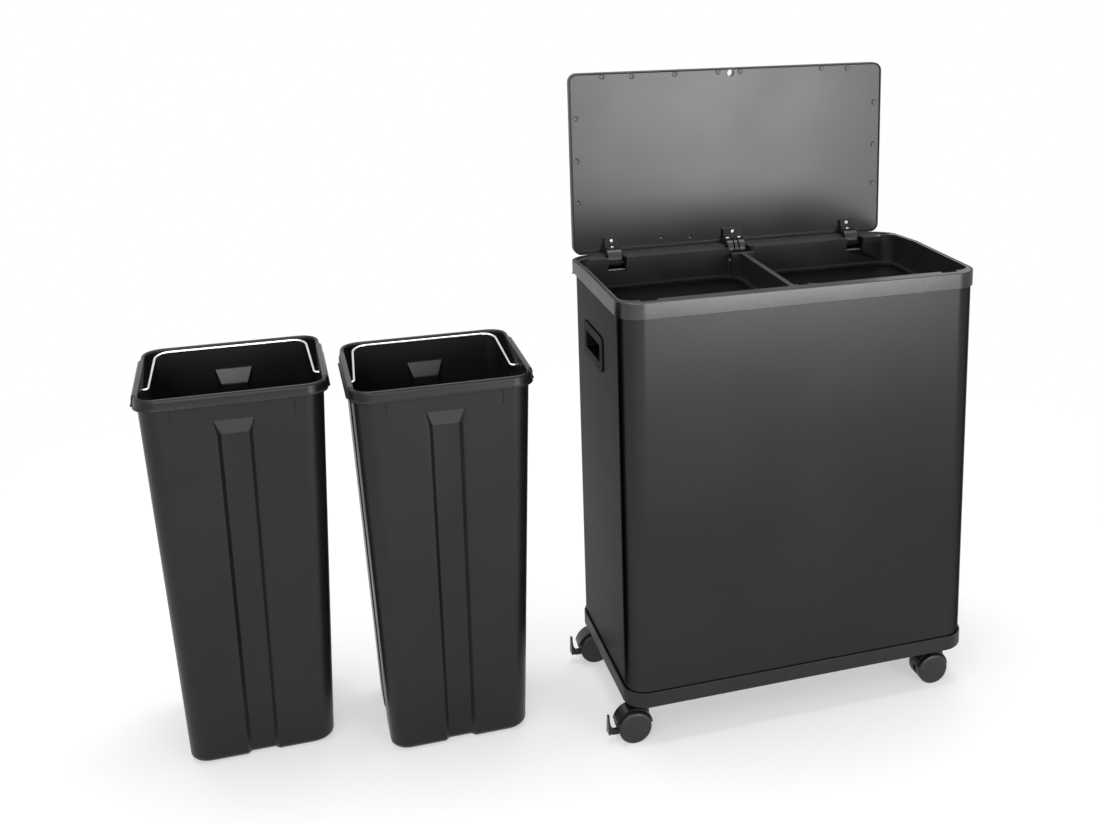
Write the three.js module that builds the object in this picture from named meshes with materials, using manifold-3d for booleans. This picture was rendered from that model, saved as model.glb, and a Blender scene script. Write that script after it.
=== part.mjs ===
// Double recycling bin: a wide steel cabinet on four twin-wheel casters, with a lid that
// stands open on three hinges, and its two lift-out buckets standing on the floor beside it.
// Millimetres, +Z up, the front of the cabinet faces -Y, the floor is z = 0.
import * as THREE from 'three';
import { mergeVertices } from 'three/addons/utils/BufferGeometryUtils.js';
import Module from 'manifold-3d';

const wasm = await Module();
wasm.setup();

// ---------------------------------------------------------------- driving dimensions
const clearance = 0.3; // gap between pieces that touch or nest
const weldDistance = 0.0001; // vertices nearer than this are one vertex

// flat sides that stand for a round one
const smallSides = 12;
const pinSides = 16;
const neckSides = 20;
const roundSides = 24;
const hoodSides = 28;
const outlineSteps = 3; // flat pieces in half of a rounded corner
const hoodSteps = 7;

// cabinet
const bodyCornerRadius = 35;
const shellWall = 0.8;
const baseUnderside = 66; // height of the tray's lower edge over the floor
const baseHeight = 25;
const bandStandOut = 3; // collar and base tray stand out this far from the shell
const bandWall = 2.7;
const baseFloorThickness = 3;
const baseFloorDrop = 8; // the tray's floor lies this far below its upper edge
const baseRibThickness = 2.5;
const ribsAcross = 5; // ribs that run from front to rear
const ribsAlong = 2; // ribs that run from side to side
const rimOverBucket = 35; // the collar's top over a bucket let down inside
const collarHeight = 25;
const shellInCollar = 15; // the shell reaches this far up inside the collar

// rear overhang of the collar, which houses the hinges
const overhangDepth = 27;
const overhangDrop = 8; // the collar's top falls this far towards the rear
const slopeLength = 128; // length of the falling part of the collar's top
const slopePast = 5; // the cut that makes the slope runs on past the collar
const overhangSheet = 1.8;
const overhangSlant = 7; // the underside of the overhang rises this much to the rear
const rearCornerRadius = 48;

// inner frame
const frameTopDrop = 0.4; // frame lies this far below the collar's top
const frontLedgeDepth = 22; // from the collar's front face to the opening
const frameWall = 3.2;
const rearShelfDepth = 13; // from the shell's rear face forward to the opening
const rearShelfDrop = 1.5; // the shelf lies this far below the collar's rear edge
const rearShelfThickness = 3;
const rearStepHeight = 10;
const rearStepDepth = 2.5;
const openingCornerRadius = 22;
const ledgeNotchLength = 27; // two shallow notches in the front ledge
const ledgeNotchInset = 31.5; // from the shell's side to a notch
const ledgeNotchDepth = 8;
const dividerWidth = 9;
const dividerDrop = 14; // top of the divider below the collar's top
const dividerBlockWidth = 40;
const dividerBlockDepth = 18;
const bucketLedgeThickness = 4;
const bucketLedgeSide = 9.5;
const bucketLedgeEnd = 12;
const bucketSideRoom = 2.85; // between a bucket's rim and its compartment, on each side
const bucketEndRoom = 13; // and at the front and the rear
const bucketFootRoom = 1; // a bucket hung on its ledge clears the tray's floor by this

// side grips
const gripLength = 89;
const gripHeight = 28;
const gripCornerRadius = 3;
const gripBezelMargin = 14.5;
const gripBezelCorner = 10;
const gripBezelThickness = 1.5;
const gripCupWall = 1.7;
const gripCupDepth = 16;
const gripDrop = 114; // middle of the grip below the collar's top
const gripSetBack = 20.5; // behind the middle of the body's depth

// lid
const lidSideInset = 10.5; // from the shell's side to the lid's side edge
const lidFrontLap = 3.4; // the shut lid reaches this far past the opening's front edge
const lidThickness = 14;
const lidCornerRadius = 14.5;
const lidSkin = 2;
const lidOverCollar = 1; // gap over the collar when the lid is shut
const lidRearInset = 5; // the shut lid's rear edge lies this far in front of the shell's rear face
const linerRecess = 2;
const linerThickness = 2.5;
const fingerHoleRadius = 7;
const fingerHoleInset = 9.5; // from the free edge to the hole's middle
const fingerSleeveWall = 1.5;

// lid hinges, with the pivot placed behind the shell
const pivotBehindShell = 8.5;
const pivotBelowCollar = 21.5;
const knuckleRadius = 6;
const pinRadius = 2.5;
const pinFit = 0.3;
const sideHingeInset = 64; // from the lid's side edge to the middle of a side hinge
const sideLeafWidth = 24;
const centreArmWidth = 10;
const centreArmSpread = 10.5; // middle of each centre arm from the hinge's middle
const centreLeafEdge = 1; // the centre leaf's plate stands out past its arms
const hingePlateThickness = 6;
const hingeBlockThickness = 11;
const hingePlateHeight = 10;
const hingeBlockHeight = 11;
const hingeEdgeInset = 3.5; // from the lid's lower edge to the block
const armThickness = 6.5;
const armReach = 17; // outer radius of the arm's bend
const notchSideGap = 3.5;
const notchReach = 29.5; // the notches run this far in front of the pivot
const cheekThickness = 5;
const cheekReach = 7; // the cheeks run this far behind the pivot
const cheekDepth = 4.2; // the cheeks run this far below the pivot
const springWidth = 6;
const springThickness = 2;
const screwHeadRadius = 3.2;
const screwHeadHeight = 2;
const screwShankRadius = 1.6;
const screwUpperRise = 5.5; // upper screws over the plate's lower edge
const screwLowerRise = 5.5; // lower screws over the block's lower edge

// casters
const casterInsetX = 31;
const casterInsetY = 32;
const casterTrail = 20;
const wheelRadius = 26;
const wheelThickness = 16.5;
const wheelGap = 9.2; // between the two wheels of a caster
const wheelWall = 3.5;
const wheelEdge = 2; // bevel round the outer face
const axleRadius = 3;
const axleFit = 0.3;
const axleEndCover = 3;
const wheelHubRadius = 7;
const hoodGap = 1.2;
const hoodThickness = 2.5;
const hoodWidth = 26;
const hoodStart = 4; // degrees above the horizontal at the leading side
const hoodEnd = 167;
const webThickness = 7.6;
const webRadius = 19;
const neckRadius = 7;
const stemRadius = 5;
const stemLength = 14;
const bossRadius = 15;
const leverPivotBehind = 14; // lever's pivot behind the axle
const leverPivotDrop = 10; // and under it
const leverKnuckleRadius = 4;
const leverThickness = 6;
const leverReach = 37.5; // from the axle to the tab's inner face
const leverArmHeight = 9;
const leverTabTop = 19.5; // over the axle
const leverTabBottom = 10.5; // under the axle
const leverTabBottomWidth = 17;
const leverTabTopWidth = 6;
const leverTabThickness = 3;
const leverWaist = 0.85; // height of the arm at its root as a share of the knuckle
const leverShoulder = 3; // the arm takes its full height over this length
const leverBlend = 6; // the arm runs into the tab over this length
const leverEdge = 2; // lower edge of the arm, bevelled by this at the tab
const leverOverlap = 0.1; // the tab is let into the arm by this much

// buckets
const bucketRimWidth = 275;
const bucketRimDepth = 264;
const bucketHeight = 597;
const bucketRimHeight = 18;
const bucketRimStandOut = 6;
const bucketRimCorner = 34;
const bucketRimTop = 2.5; // thickness of the rim's upper face
const bucketRimSkirt = 2; // thickness of the rim's hanging skirt
const bucketRimBead = 0.7; // the skirt's lower edge stands out this much
const bucketEar = 3; // the rim's ears stand out this much on its two sides
const bucketEarStart = 118; // the ears run from here in front of the middle
const bucketEarEnd = 72; // to here behind the middle
const bucketEarFoot = 3; // an ear rises over this length at each end
const bucketCornerSteps = 4;
const filletBend = 0.3; // middle of a two-step fillet, as a share of it
const bucketFootWidth = 210;
const bucketFootDepth = 210;
const bucketFootCorner = 36;
const bucketFootFillet = 12;
const bucketWall = 2.5;
const channelTopWidth = 50;
const channelFootWidth = 46;
const channelDepth = 4.5;
const channelFlank = 3;
const channelStart = 42; // below the rim's top
const channelFull = 66; // the channel has its full depth from here down
const bucketGap = 17; // between the two buckets' rims
const bucketOneBehind = 124; // left bucket behind the middle of the cabinet
const bucketTwoBehind = 56;
const bucketTwoGap = 104; // right bucket's rim to the cabinet's side

// bails
const bailWireRadius = 2.2;
const bailPivotDrop = 25; // below the rim's top
const bailInset = 6; // wire's middle inside the bucket's wall at the pivot
const bailRearInset = 8;
const bailCornerRadius = 22;
const bailTaper = 6; // each leg leans in by this much at the rear
const bailRise = 21;
const bailEnd = 1.5; // the hooked end stands out of the wall this far
const bailHook = 5; // the wire bends through its last stretch over this length
const bailHoleFit = 0.5;
const bailCornerShares = [0.25, 0.5, 0.75]; // stations inside each corner
const bailSectionSteps = 4;

// ---------------------------------------------------------------- places that follow
const openingSide = dividerWidth / 2 + 2 * bucketSideRoom + bucketRimWidth;
const halfWidth = openingSide + frameWall + clearance + shellWall;
const bodyWidth = 2 * halfWidth;
const openingDepth = bucketRimDepth + 2 * bucketEndRoom;
const bodyDepth = openingDepth + frontLedgeDepth - bandStandOut + rearShelfDepth;
const halfDepth = bodyDepth / 2;
const baseTop = baseUnderside + baseHeight;
const baseFloorTop = baseTop - baseFloorDrop;
const bucketLedgeHeight = baseFloorTop + bucketFootRoom + bucketHeight - bucketRimHeight;
const cabinetHeight = baseFloorTop + bucketFootRoom + bucketHeight + rimOverBucket;
const collarBottom = cabinetHeight - collarHeight;
const collarRear = halfDepth + overhangDepth;
const collarRearTop = cabinetHeight - overhangDrop;
const pivotY = halfDepth + pivotBehindShell;
const pivotZ = cabinetHeight - pivotBelowCollar;
const overhangLow = collarBottom - overhangSlant;
const openingFront = -halfDepth - bandStandOut + frontLedgeDepth;
const openingRear = halfDepth - rearShelfDepth;
const rearShelfTop = collarRearTop - rearShelfDrop;

// The open lid stands upright behind the pivot. Its shut place, turned a quarter, gives this one.
const lidShutUnderside = cabinetHeight + lidOverCollar;
const lidFaceY = pivotY + lidShutUnderside - pivotZ;
const lidBottomZ = pivotZ + pivotY - (halfDepth - lidRearInset);
const lidWidth = bodyWidth - 2 * lidSideInset;
const lidDepth = halfDepth - lidRearInset - openingFront + lidFrontLap;
const lidTopZ = lidBottomZ + lidDepth;
const lidBackY = lidFaceY + lidThickness;
const linerFaceY = lidFaceY + linerRecess;

// The whole set is centred on the origin.
const bucketTwoX = -halfWidth - bandStandOut - bucketTwoGap - bucketRimWidth / 2;
const bucketOneX = bucketTwoX - bucketRimWidth - bucketGap;
const setLeft = bucketOneX - bucketRimWidth / 2;
const setRight = halfWidth + bandStandOut;
const setRear = bucketOneBehind + bucketRimDepth / 2;
const setFront = -halfDepth - bandStandOut;
const cabinetX = -(setLeft + setRight) / 2;
const cabinetY = -(setFront + setRear) / 2;

// ---------------------------------------------------------------- looks
const looks = {
  steel: { color: 0x4b4c4e, roughness: 0.42, metalness: 0.75 },
  collar: { color: 0x5a5b5d, roughness: 0.38, metalness: 0.7 },
  blackPlastic: { color: 0x1c1c1e, roughness: 0.55, metalness: 0 },
  lidGrey: { color: 0x4a4a4c, roughness: 0.5, metalness: 0 },
  bucketPlastic: { color: 0x262628, roughness: 0.5, metalness: 0 },
  casterPlastic: { color: 0x1d1d1f, roughness: 0.45, metalness: 0 },
  wheelPlastic: { color: 0x2a2a2c, roughness: 0.5, metalness: 0 },
  brightSteel: { color: 0xc9cacc, roughness: 0.2, metalness: 1 },
};

const assembly = new THREE.Group();
const cabinet = new THREE.Group();
cabinet.position.set(cabinetX, cabinetY, 0);
assembly.add(cabinet);

function place(parent, name, geometry, look, position = [0, 0, 0]) {
  const mesh = new THREE.Mesh(geometry, new THREE.MeshStandardMaterial(looks[look]));
  mesh.name = name;
  mesh.position.set(...position);
  parent.add(mesh);
}

// ---------------------------------------------------------------- solids
function toSolid(geometry) {
  const bare = geometry.clone();
  bare.deleteAttribute('normal');
  bare.deleteAttribute('uv');
  const welded = mergeVertices(bare, weldDistance);
  return new wasm.Manifold(new wasm.Mesh({
    numProp: 3,
    vertProperties: new Float32Array(welded.attributes.position.array),
    triVerts: new Uint32Array(welded.index.array),
  }));
}

function toGeometry(solid) {
  const mesh = solid.getMesh();
  const geometry = new THREE.BufferGeometry();
  geometry.setAttribute('position', new THREE.BufferAttribute(new Float32Array(mesh.vertProperties), 3));
  geometry.setIndex(new THREE.BufferAttribute(new Uint32Array(mesh.triVerts), 1));
  return geometry;
}

function box(x0, x1, y0, y1, z0, z1) {
  const geometry = new THREE.BoxGeometry(x1 - x0, y1 - y0, z1 - z0);
  geometry.translate((x0 + x1) / 2, (y0 + y1) / 2, (z0 + z1) / 2);
  return toSolid(geometry);
}

// A flat outline in X and Y, raised from z0 to z1.
function raised(shape, z0, z1, steps = outlineSteps) {
  const geometry = new THREE.ExtrudeGeometry(shape, {
    depth: z1 - z0,
    bevelEnabled: false,
    curveSegments: steps,
  });
  geometry.translate(0, 0, z0);
  return toSolid(geometry);
}

// An outline drawn in Y and Z, drawn out along X from x0 to x1.
function alongX(shape, x0, x1, steps = outlineSteps) {
  const geometry = new THREE.ExtrudeGeometry(shape, {
    depth: x1 - x0,
    bevelEnabled: false,
    curveSegments: steps,
  });
  geometry.translate(0, 0, x0);
  const turn = new THREE.Matrix4();
  turn.makeBasis(new THREE.Vector3(0, 1, 0), new THREE.Vector3(0, 0, 1), new THREE.Vector3(1, 0, 0));
  geometry.applyMatrix4(turn);
  return toSolid(geometry);
}

// An outline drawn in X and Z, drawn out along Y from y0 to y1.
function alongY(shape, y0, y1, steps = outlineSteps) {
  const geometry = new THREE.ExtrudeGeometry(shape, {
    depth: y1 - y0,
    bevelEnabled: false,
    curveSegments: steps,
  });
  geometry.translate(0, 0, -y1);
  const turn = new THREE.Matrix4();
  turn.makeBasis(new THREE.Vector3(1, 0, 0), new THREE.Vector3(0, 0, 1), new THREE.Vector3(0, -1, 0));
  geometry.applyMatrix4(turn);
  return toSolid(geometry);
}

function polygon(points) {
  const shape = new THREE.Shape();
  shape.moveTo(...points[0]);
  points.slice(1).forEach((point) => shape.lineTo(...point));
  shape.closePath();
  return shape;
}

// A rectangle whose two lower corners have one radius and whose two upper corners another.
function roundedRect(x0, x1, y0, y1, lower, upper = lower) {
  const shape = new THREE.Shape();
  shape.moveTo(x0 + lower, y0);
  shape.lineTo(x1 - lower, y0);
  shape.absarc(x1 - lower, y0 + lower, lower, -Math.PI / 2, 0);
  shape.lineTo(x1, y1 - upper);
  shape.absarc(x1 - upper, y1 - upper, upper, 0, Math.PI / 2);
  shape.lineTo(x0 + upper, y1);
  shape.absarc(x0 + upper, y1 - upper, upper, Math.PI / 2, Math.PI);
  shape.lineTo(x0, y0 + lower);
  shape.absarc(x0 + lower, y0 + lower, lower, Math.PI, 1.5 * Math.PI);
  return shape;
}

function rod(radius, from, to, sides) {
  const start = new THREE.Vector3(...from);
  const end = new THREE.Vector3(...to);
  const geometry = new THREE.CylinderGeometry(radius, radius, start.distanceTo(end), sides);
  const direction = end.clone().sub(start).normalize();
  const turn = new THREE.Quaternion().setFromUnitVectors(new THREE.Vector3(0, 1, 0), direction);
  geometry.applyQuaternion(turn);
  const middle = start.add(end).multiplyScalar(0.5);
  geometry.translate(middle.x, middle.y, middle.z);
  return toSolid(geometry);
}

// A body of the cabinet's plan, larger than the shell by this much on every side.
function planBody(grow, rear, rearRadius, z0, z1) {
  const shape = roundedRect(
    -halfWidth - grow,
    halfWidth + grow,
    -halfDepth - grow,
    rear,
    bodyCornerRadius + grow,
    rearRadius,
  );
  return raised(shape, z0, z1);
}

function shellPlan(grow, z0, z1) {
  return planBody(grow, halfDepth + grow, bodyCornerRadius + grow, z0, z1);
}

// ---------------------------------------------------------------- cabinet
const shellBottom = baseFloorTop + clearance;
const shellTop = collarBottom + shellInCollar;
const gripCentreHeight = cabinetHeight - gripDrop;

function gripBox(side, grow, fromX, toX) {
  const middle = gripCentreHeight;
  const shape = roundedRect(
    gripSetBack - gripLength / 2 - grow,
    gripSetBack + gripLength / 2 + grow,
    middle - gripHeight / 2 - grow,
    middle + gripHeight / 2 + grow,
    gripCornerRadius + Math.min(grow, gripBezelCorner - gripCornerRadius),
  );
  return alongX(shape, Math.min(side * fromX, side * toX), Math.max(side * fromX, side * toX), 2);
}

function steelShell() {
  let solid = shellPlan(0, shellBottom, shellTop);
  solid = solid.subtract(shellPlan(-shellWall, shellBottom - 1, shellTop + 1));
  // The rear wall ends under the overhang, so that the hinge arms pass over it.
  const rearCut = halfWidth - bodyCornerRadius;
  solid = solid.subtract(box(-rearCut, rearCut, 0, halfDepth + 1, overhangLow, shellTop + 1));
  const holeGrow = gripCupWall + clearance;
  solid = solid.subtract(gripBox(-1, holeGrow, halfWidth - shellWall - 1, halfWidth + 1));
  solid = solid.subtract(gripBox(1, holeGrow, halfWidth - shellWall - 1, halfWidth + 1));
  return toGeometry(solid);
}

function sideGrip(side) {
  const outer = halfWidth + clearance;
  const bezelFace = outer + gripBezelThickness;
  const cupBack = bezelFace - gripCupDepth - gripCupWall;
  let solid = gripBox(side, gripBezelMargin, outer, bezelFace);
  solid = solid.add(gripBox(side, gripCupWall, cupBack, bezelFace));
  solid = solid.subtract(gripBox(side, 0, bezelFace - gripCupDepth, bezelFace + 1));
  return toGeometry(solid);
}

// Above this line the collar's top falls away to the rear; the line can be lowered.
function topSlope(lower) {
  const startY = collarRear - slopeLength;
  const endY = collarRear + slopePast;
  const low = cabinetHeight - lower - (overhangDrop * (endY - startY)) / slopeLength;
  return alongX(
    polygon([
      [startY, cabinetHeight - lower],
      [endY, low],
      [endY, cabinetHeight + slopePast],
      [startY, cabinetHeight + slopePast],
    ]),
    -halfWidth * 2,
    halfWidth * 2,
  );
}

function topCollar() {
  const outer = planBody(bandStandOut, collarRear, rearCornerRadius, overhangLow, cabinetHeight);
  const wall = bandWall;
  // Below the band only the slanted underside of the rear overhang is left.
  const under = alongX(
    polygon([
      [halfDepth, overhangLow - 1],
      [halfDepth, overhangLow],
      [collarRear, collarBottom],
      [collarRear * 2, collarBottom],
      [collarRear * 2, overhangLow - 1],
    ]),
    -halfWidth * 2,
    halfWidth * 2,
  );
  const below = box(
    -halfWidth * 2,
    halfWidth * 2,
    -halfDepth * 2,
    halfDepth,
    overhangLow - 1,
    collarBottom,
  );
  const inside = planBody(
    bandStandOut - wall,
    collarRear - wall,
    rearCornerRadius - wall,
    overhangLow - 1,
    cabinetHeight + 1,
  );
  const keep = alongX(
    polygon([
      [halfDepth + clearance, overhangLow - 2],
      [halfDepth + clearance, overhangLow + overhangSheet],
      [collarRear, collarBottom + overhangSheet],
      [collarRear, overhangLow - 2],
    ]),
    -halfWidth * 2,
    halfWidth * 2,
  );
  let solid = outer.subtract(under).subtract(below);
  solid = solid.subtract(inside.subtract(keep));
  solid = solid.subtract(topSlope(0));
  return toGeometry(solid);
}

function compartment(side, sideGrow, z0, z1, endGrow, radius) {
  const inner = dividerWidth / 2 - sideGrow;
  const outer = openingSide + sideGrow;
  const x0 = Math.min(side * inner, side * outer);
  const x1 = Math.max(side * inner, side * outer);
  return raised(roundedRect(x0, x1, openingFront - endGrow, openingRear + endGrow, radius), z0, z1);
}

function hingeNotch(middle, halfNotch) {
  return box(
    middle - halfNotch,
    middle + halfNotch,
    pivotY - notchReach,
    pivotY + knuckleRadius + 1,
    overhangLow,
    cabinetHeight,
  );
}

const centreHalfLeaf = centreArmSpread + centreArmWidth / 2 + centreLeafEdge;
const sideHingeOffset = lidWidth / 2 - sideHingeInset;
const hinges = [
  { name: 'left', x: -sideHingeOffset, half: sideLeafWidth / 2 },
  { name: 'centre', x: 0, half: centreHalfLeaf },
  { name: 'right', x: sideHingeOffset, half: sideLeafWidth / 2 },
];

function innerFrame() {
  const frameTop = cabinetHeight - frameTopDrop;
  const skirtBottom = bucketLedgeHeight - bucketLedgeThickness;
  const lipBottom = shellTop + clearance;
  const inCollar = bandStandOut - bandWall - clearance;
  const rearInside = collarRear - bandWall - clearance;
  const rearRadius = rearCornerRadius - bandWall - clearance;
  // The lip fills the collar over the shell; the shelf closes the overhang at the rear.
  let solid = planBody(inCollar, rearInside, rearRadius, lipBottom, frameTop);
  const underShelf = box(
    -halfWidth * 2,
    halfWidth * 2,
    halfDepth - shellWall - clearance,
    collarRear * 2,
    overhangLow,
    rearShelfTop - rearShelfThickness,
  );
  const overShelf = box(-halfWidth * 2, halfWidth * 2, openingRear, collarRear, rearShelfTop, frameTop + 1);
  solid = solid.subtract(underShelf);
  solid = solid.subtract(overShelf.intersect(planBody(
    inCollar - frameWall,
    rearInside - frameWall,
    rearRadius - frameWall,
    rearShelfTop,
    frameTop + 1,
  )));
  solid = solid.add(shellPlan(-shellWall - clearance, skirtBottom, lipBottom + 1));
  hinges.forEach((hinge) => {
    const cheekHalf = hinge.half + notchSideGap + cheekThickness;
    solid = solid.add(box(
      hinge.x - cheekHalf,
      hinge.x + cheekHalf,
      halfDepth - shellWall - clearance - 1,
      pivotY + cheekReach,
      pivotZ - cheekDepth,
      rearShelfTop - rearShelfThickness / 2,
    ));
  });
  // Two compartments, each with a ledge round its foot.
  [-1, 1].forEach((side) => {
    solid = solid.subtract(compartment(side, 0, bucketLedgeHeight, frameTop + 1, 0, openingCornerRadius));
    solid = solid.subtract(compartment(
      side,
      -bucketLedgeSide,
      skirtBottom - 1,
      bucketLedgeHeight + 1,
      -bucketLedgeEnd,
      openingCornerRadius,
    ));
    const notchEnd = halfWidth - ledgeNotchInset;
    const notchStart = notchEnd - ledgeNotchLength;
    solid = solid.subtract(box(
      Math.min(side * notchStart, side * notchEnd),
      Math.max(side * notchStart, side * notchEnd),
      openingFront - ledgeNotchDepth,
      openingFront + 1,
      bucketLedgeHeight,
      frameTop + 1,
    ));
    const stepX = openingSide - openingCornerRadius;
    solid = solid.subtract(box(
      Math.min(side * (dividerBlockWidth / 2 + 2), side * stepX),
      Math.max(side * (dividerBlockWidth / 2 + 2), side * stepX),
      openingRear - 1,
      openingRear + rearStepDepth,
      bucketLedgeHeight,
      rearShelfTop - rearStepHeight,
    ));
  });
  // The divider is lower than the rim, with a broader block under the centre hinge.
  const dividerTop = cabinetHeight - dividerDrop;
  solid = solid.subtract(box(
    -dividerWidth,
    dividerWidth,
    openingFront,
    openingRear,
    dividerTop,
    cabinetHeight + 1,
  ));
  solid = solid.add(box(
    -dividerBlockWidth / 2,
    dividerBlockWidth / 2,
    openingRear - dividerBlockDepth,
    openingRear + rearStepDepth,
    bucketLedgeHeight - 1,
    dividerTop,
  ));
  solid = solid.subtract(topSlope(frameTopDrop));
  hinges.forEach((hinge) => {
    solid = solid.subtract(hingeNotch(hinge.x, hinge.half + notchSideGap));
    const reach = hinge.half + notchSideGap + cheekThickness - 1;
    solid = solid.subtract(rod(
      pinRadius + pinFit,
      [hinge.x - reach, pivotY, pivotZ],
      [hinge.x + reach, pivotY, pivotZ],
      pinSides,
    ));
  });
  return toGeometry(solid);
}

function casterSpots() {
  const x = halfWidth - casterInsetX;
  const y = halfDepth - casterInsetY;
  return [
    { name: 'front_left', x: -x, y: -y, brake: true },
    { name: 'rear_left', x: -x, y, brake: true },
    { name: 'front_right', x, y: -y, brake: false },
    { name: 'rear_right', x, y, brake: false },
  ];
}

function baseTray() {
  let solid = shellPlan(bandStandOut, baseUnderside, baseTop);
  solid = solid.subtract(shellPlan(bandStandOut - bandWall, baseFloorTop, baseTop + 1));
  const floorUnderside = baseFloorTop - baseFloorThickness;
  const hollow = shellPlan(bandStandOut - bandWall, baseUnderside - 1, floorUnderside);
  solid = solid.subtract(hollow);
  // Ribs under the floor, crossing the tray both ways.
  const ribBottom = baseUnderside + clearance;
  const half = baseRibThickness / 2;
  for (let rib = 1; rib <= ribsAcross; rib += 1) {
    const x = -halfWidth + (rib * bodyWidth) / (ribsAcross + 1);
    solid = solid.add(box(x - half, x + half, -halfDepth, halfDepth, ribBottom, floorUnderside + 1));
  }
  for (let rib = 1; rib <= ribsAlong; rib += 1) {
    const y = -halfDepth + (rib * bodyDepth) / (ribsAlong + 1);
    solid = solid.add(box(-halfWidth, halfWidth, y - half, y + half, ribBottom, floorUnderside + 1));
  }
  casterSpots().forEach((spot) => {
    const foot = [spot.x, spot.y, ribBottom];
    solid = solid.add(rod(bossRadius, foot, [spot.x, spot.y, floorUnderside + 1], roundSides));
  });
  casterSpots().forEach((spot) => {
    solid = solid.subtract(rod(
      stemRadius + clearance,
      [spot.x, spot.y, ribBottom - 1],
      [spot.x, spot.y, ribBottom + stemLength],
      neckSides,
    ));
  });
  return toGeometry(solid);
}

// ---------------------------------------------------------------- lid, open and upright
function lidOutline(shrink) {
  return roundedRect(
    -lidWidth / 2 + shrink,
    lidWidth / 2 - shrink,
    lidBottomZ + shrink,
    lidTopZ - shrink,
    lidCornerRadius - shrink,
  );
}

const holeZ = lidTopZ - fingerHoleInset;

function lidPanel() {
  let solid = alongY(lidOutline(0), lidFaceY, lidBackY);
  solid = solid.subtract(alongY(lidOutline(lidSkin), lidFaceY - 1, lidBackY - lidSkin));
  solid = solid.subtract(rod(
    fingerHoleRadius,
    [0, lidFaceY, holeZ],
    [0, lidBackY + 1, holeZ],
    roundSides,
  ));
  return toGeometry(solid);
}

function lidLiner() {
  const linerBack = linerFaceY + linerThickness;
  let solid = alongY(lidOutline(lidSkin + clearance), linerFaceY, linerBack);
  const sleeveEnd = lidBackY - lidSkin - clearance;
  const sleeve = fingerHoleRadius + fingerSleeveWall;
  const sleeveRoom = fingerHoleInset - lidSkin - clearance;
  const sleeveBody = rod(sleeve, [0, linerFaceY, holeZ], [0, sleeveEnd, holeZ], roundSides);
  const within = box(-sleeve, sleeve, linerFaceY, sleeveEnd, holeZ - sleeve, holeZ + sleeveRoom);
  solid = solid.add(sleeveBody.intersect(within));
  solid = solid.subtract(rod(
    fingerHoleRadius,
    [0, linerFaceY - 1, holeZ],
    [0, sleeveEnd + 1, holeZ],
    roundSides,
  ));
  hingeScrews().forEach((screw) => {
    solid = solid.subtract(rod(
      screwShankRadius + clearance,
      [screw.x, linerFaceY - 1, screw.z],
      [screw.x, linerBack + 1, screw.z],
      smallSides,
    ));
  });
  return toGeometry(solid);
}

// ---------------------------------------------------------------- hinges
const leafBackY = linerFaceY - clearance;
const blockFaceY = leafBackY - hingeBlockThickness;
const blockBottomZ = lidBottomZ + hingeEdgeInset;
const blockTopZ = blockBottomZ + hingeBlockHeight;
const plateFaceY = leafBackY - hingePlateThickness;
const plateTopZ = blockTopZ + hingePlateHeight;
const armBendY = pivotY - knuckleRadius + armReach;
const armBendZ = blockBottomZ + armThickness / 2 - armReach + armThickness / 2;

function hingeScrews() {
  const upperZ = blockTopZ + screwUpperRise;
  const lowerZ = blockBottomZ + screwLowerRise;
  const screws = [];
  hinges.forEach((hinge) => {
    screws.push({ name: `${hinge.name}_upper`, x: hinge.x, z: upperZ, face: plateFaceY });
    if (hinge.x !== 0) {
      screws.push({ name: `${hinge.name}_lower`, x: hinge.x, z: lowerZ, face: blockFaceY });
    }
  });
  screws.push({ name: 'centre_lower_left', x: -centreArmSpread, z: lowerZ, face: blockFaceY });
  screws.push({ name: 'centre_lower_right', x: centreArmSpread, z: lowerZ, face: blockFaceY });
  return screws;
}

// The bent arm, drawn in Y and Z from the block to the knuckle.
function armShape(outerRadius, thickness) {
  const shape = new THREE.Shape();
  const inner = outerRadius - thickness;
  shape.moveTo(blockFaceY + 1, armBendZ + outerRadius);
  shape.lineTo(armBendY, armBendZ + outerRadius);
  shape.absarc(armBendY, armBendZ, outerRadius, Math.PI / 2, Math.PI);
  shape.lineTo(armBendY - outerRadius, pivotZ);
  shape.lineTo(armBendY - inner, pivotZ);
  shape.lineTo(armBendY - inner, armBendZ);
  shape.absarc(armBendY, armBendZ, inner, Math.PI, Math.PI / 2, true);
  shape.lineTo(blockFaceY + 1, armBendZ + inner);
  shape.closePath();
  return shape;
}

function hingeLeaf(hinge) {
  const x0 = hinge.x - hinge.half;
  const x1 = hinge.x + hinge.half;
  let solid = box(x0, x1, plateFaceY, leafBackY, blockBottomZ, plateTopZ);
  solid = solid.add(box(x0, x1, blockFaceY, leafBackY, blockBottomZ, blockTopZ));
  const arms = hinge.x === 0
    ? [[-centreArmSpread, centreArmWidth / 2], [centreArmSpread, centreArmWidth / 2]]
    : [[hinge.x, hinge.half]];
  arms.forEach(([middle, half]) => {
    solid = solid.add(alongX(armShape(armReach, armThickness), middle - half, middle + half));
    solid = solid.add(rod(
      knuckleRadius,
      [middle - half, pivotY, pivotZ],
      [middle + half, pivotY, pivotZ],
      roundSides,
    ));
  });
  solid = solid.subtract(rod(
    pinRadius + pinFit,
    [x0 - 1, pivotY, pivotZ],
    [x1 + 1, pivotY, pivotZ],
    pinSides,
  ));
  hingeScrews().forEach((screw) => {
    solid = solid.subtract(rod(
      screwShankRadius + clearance,
      [screw.x, blockFaceY - 1, screw.z],
      [screw.x, leafBackY + 1, screw.z],
      smallSides,
    ));
    solid = solid.subtract(rod(
      screwHeadRadius + clearance,
      [screw.x, blockFaceY - 1, screw.z],
      [screw.x, screw.face + screwHeadHeight, screw.z],
      pinSides,
    ));
  });
  return toGeometry(solid);
}

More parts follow.
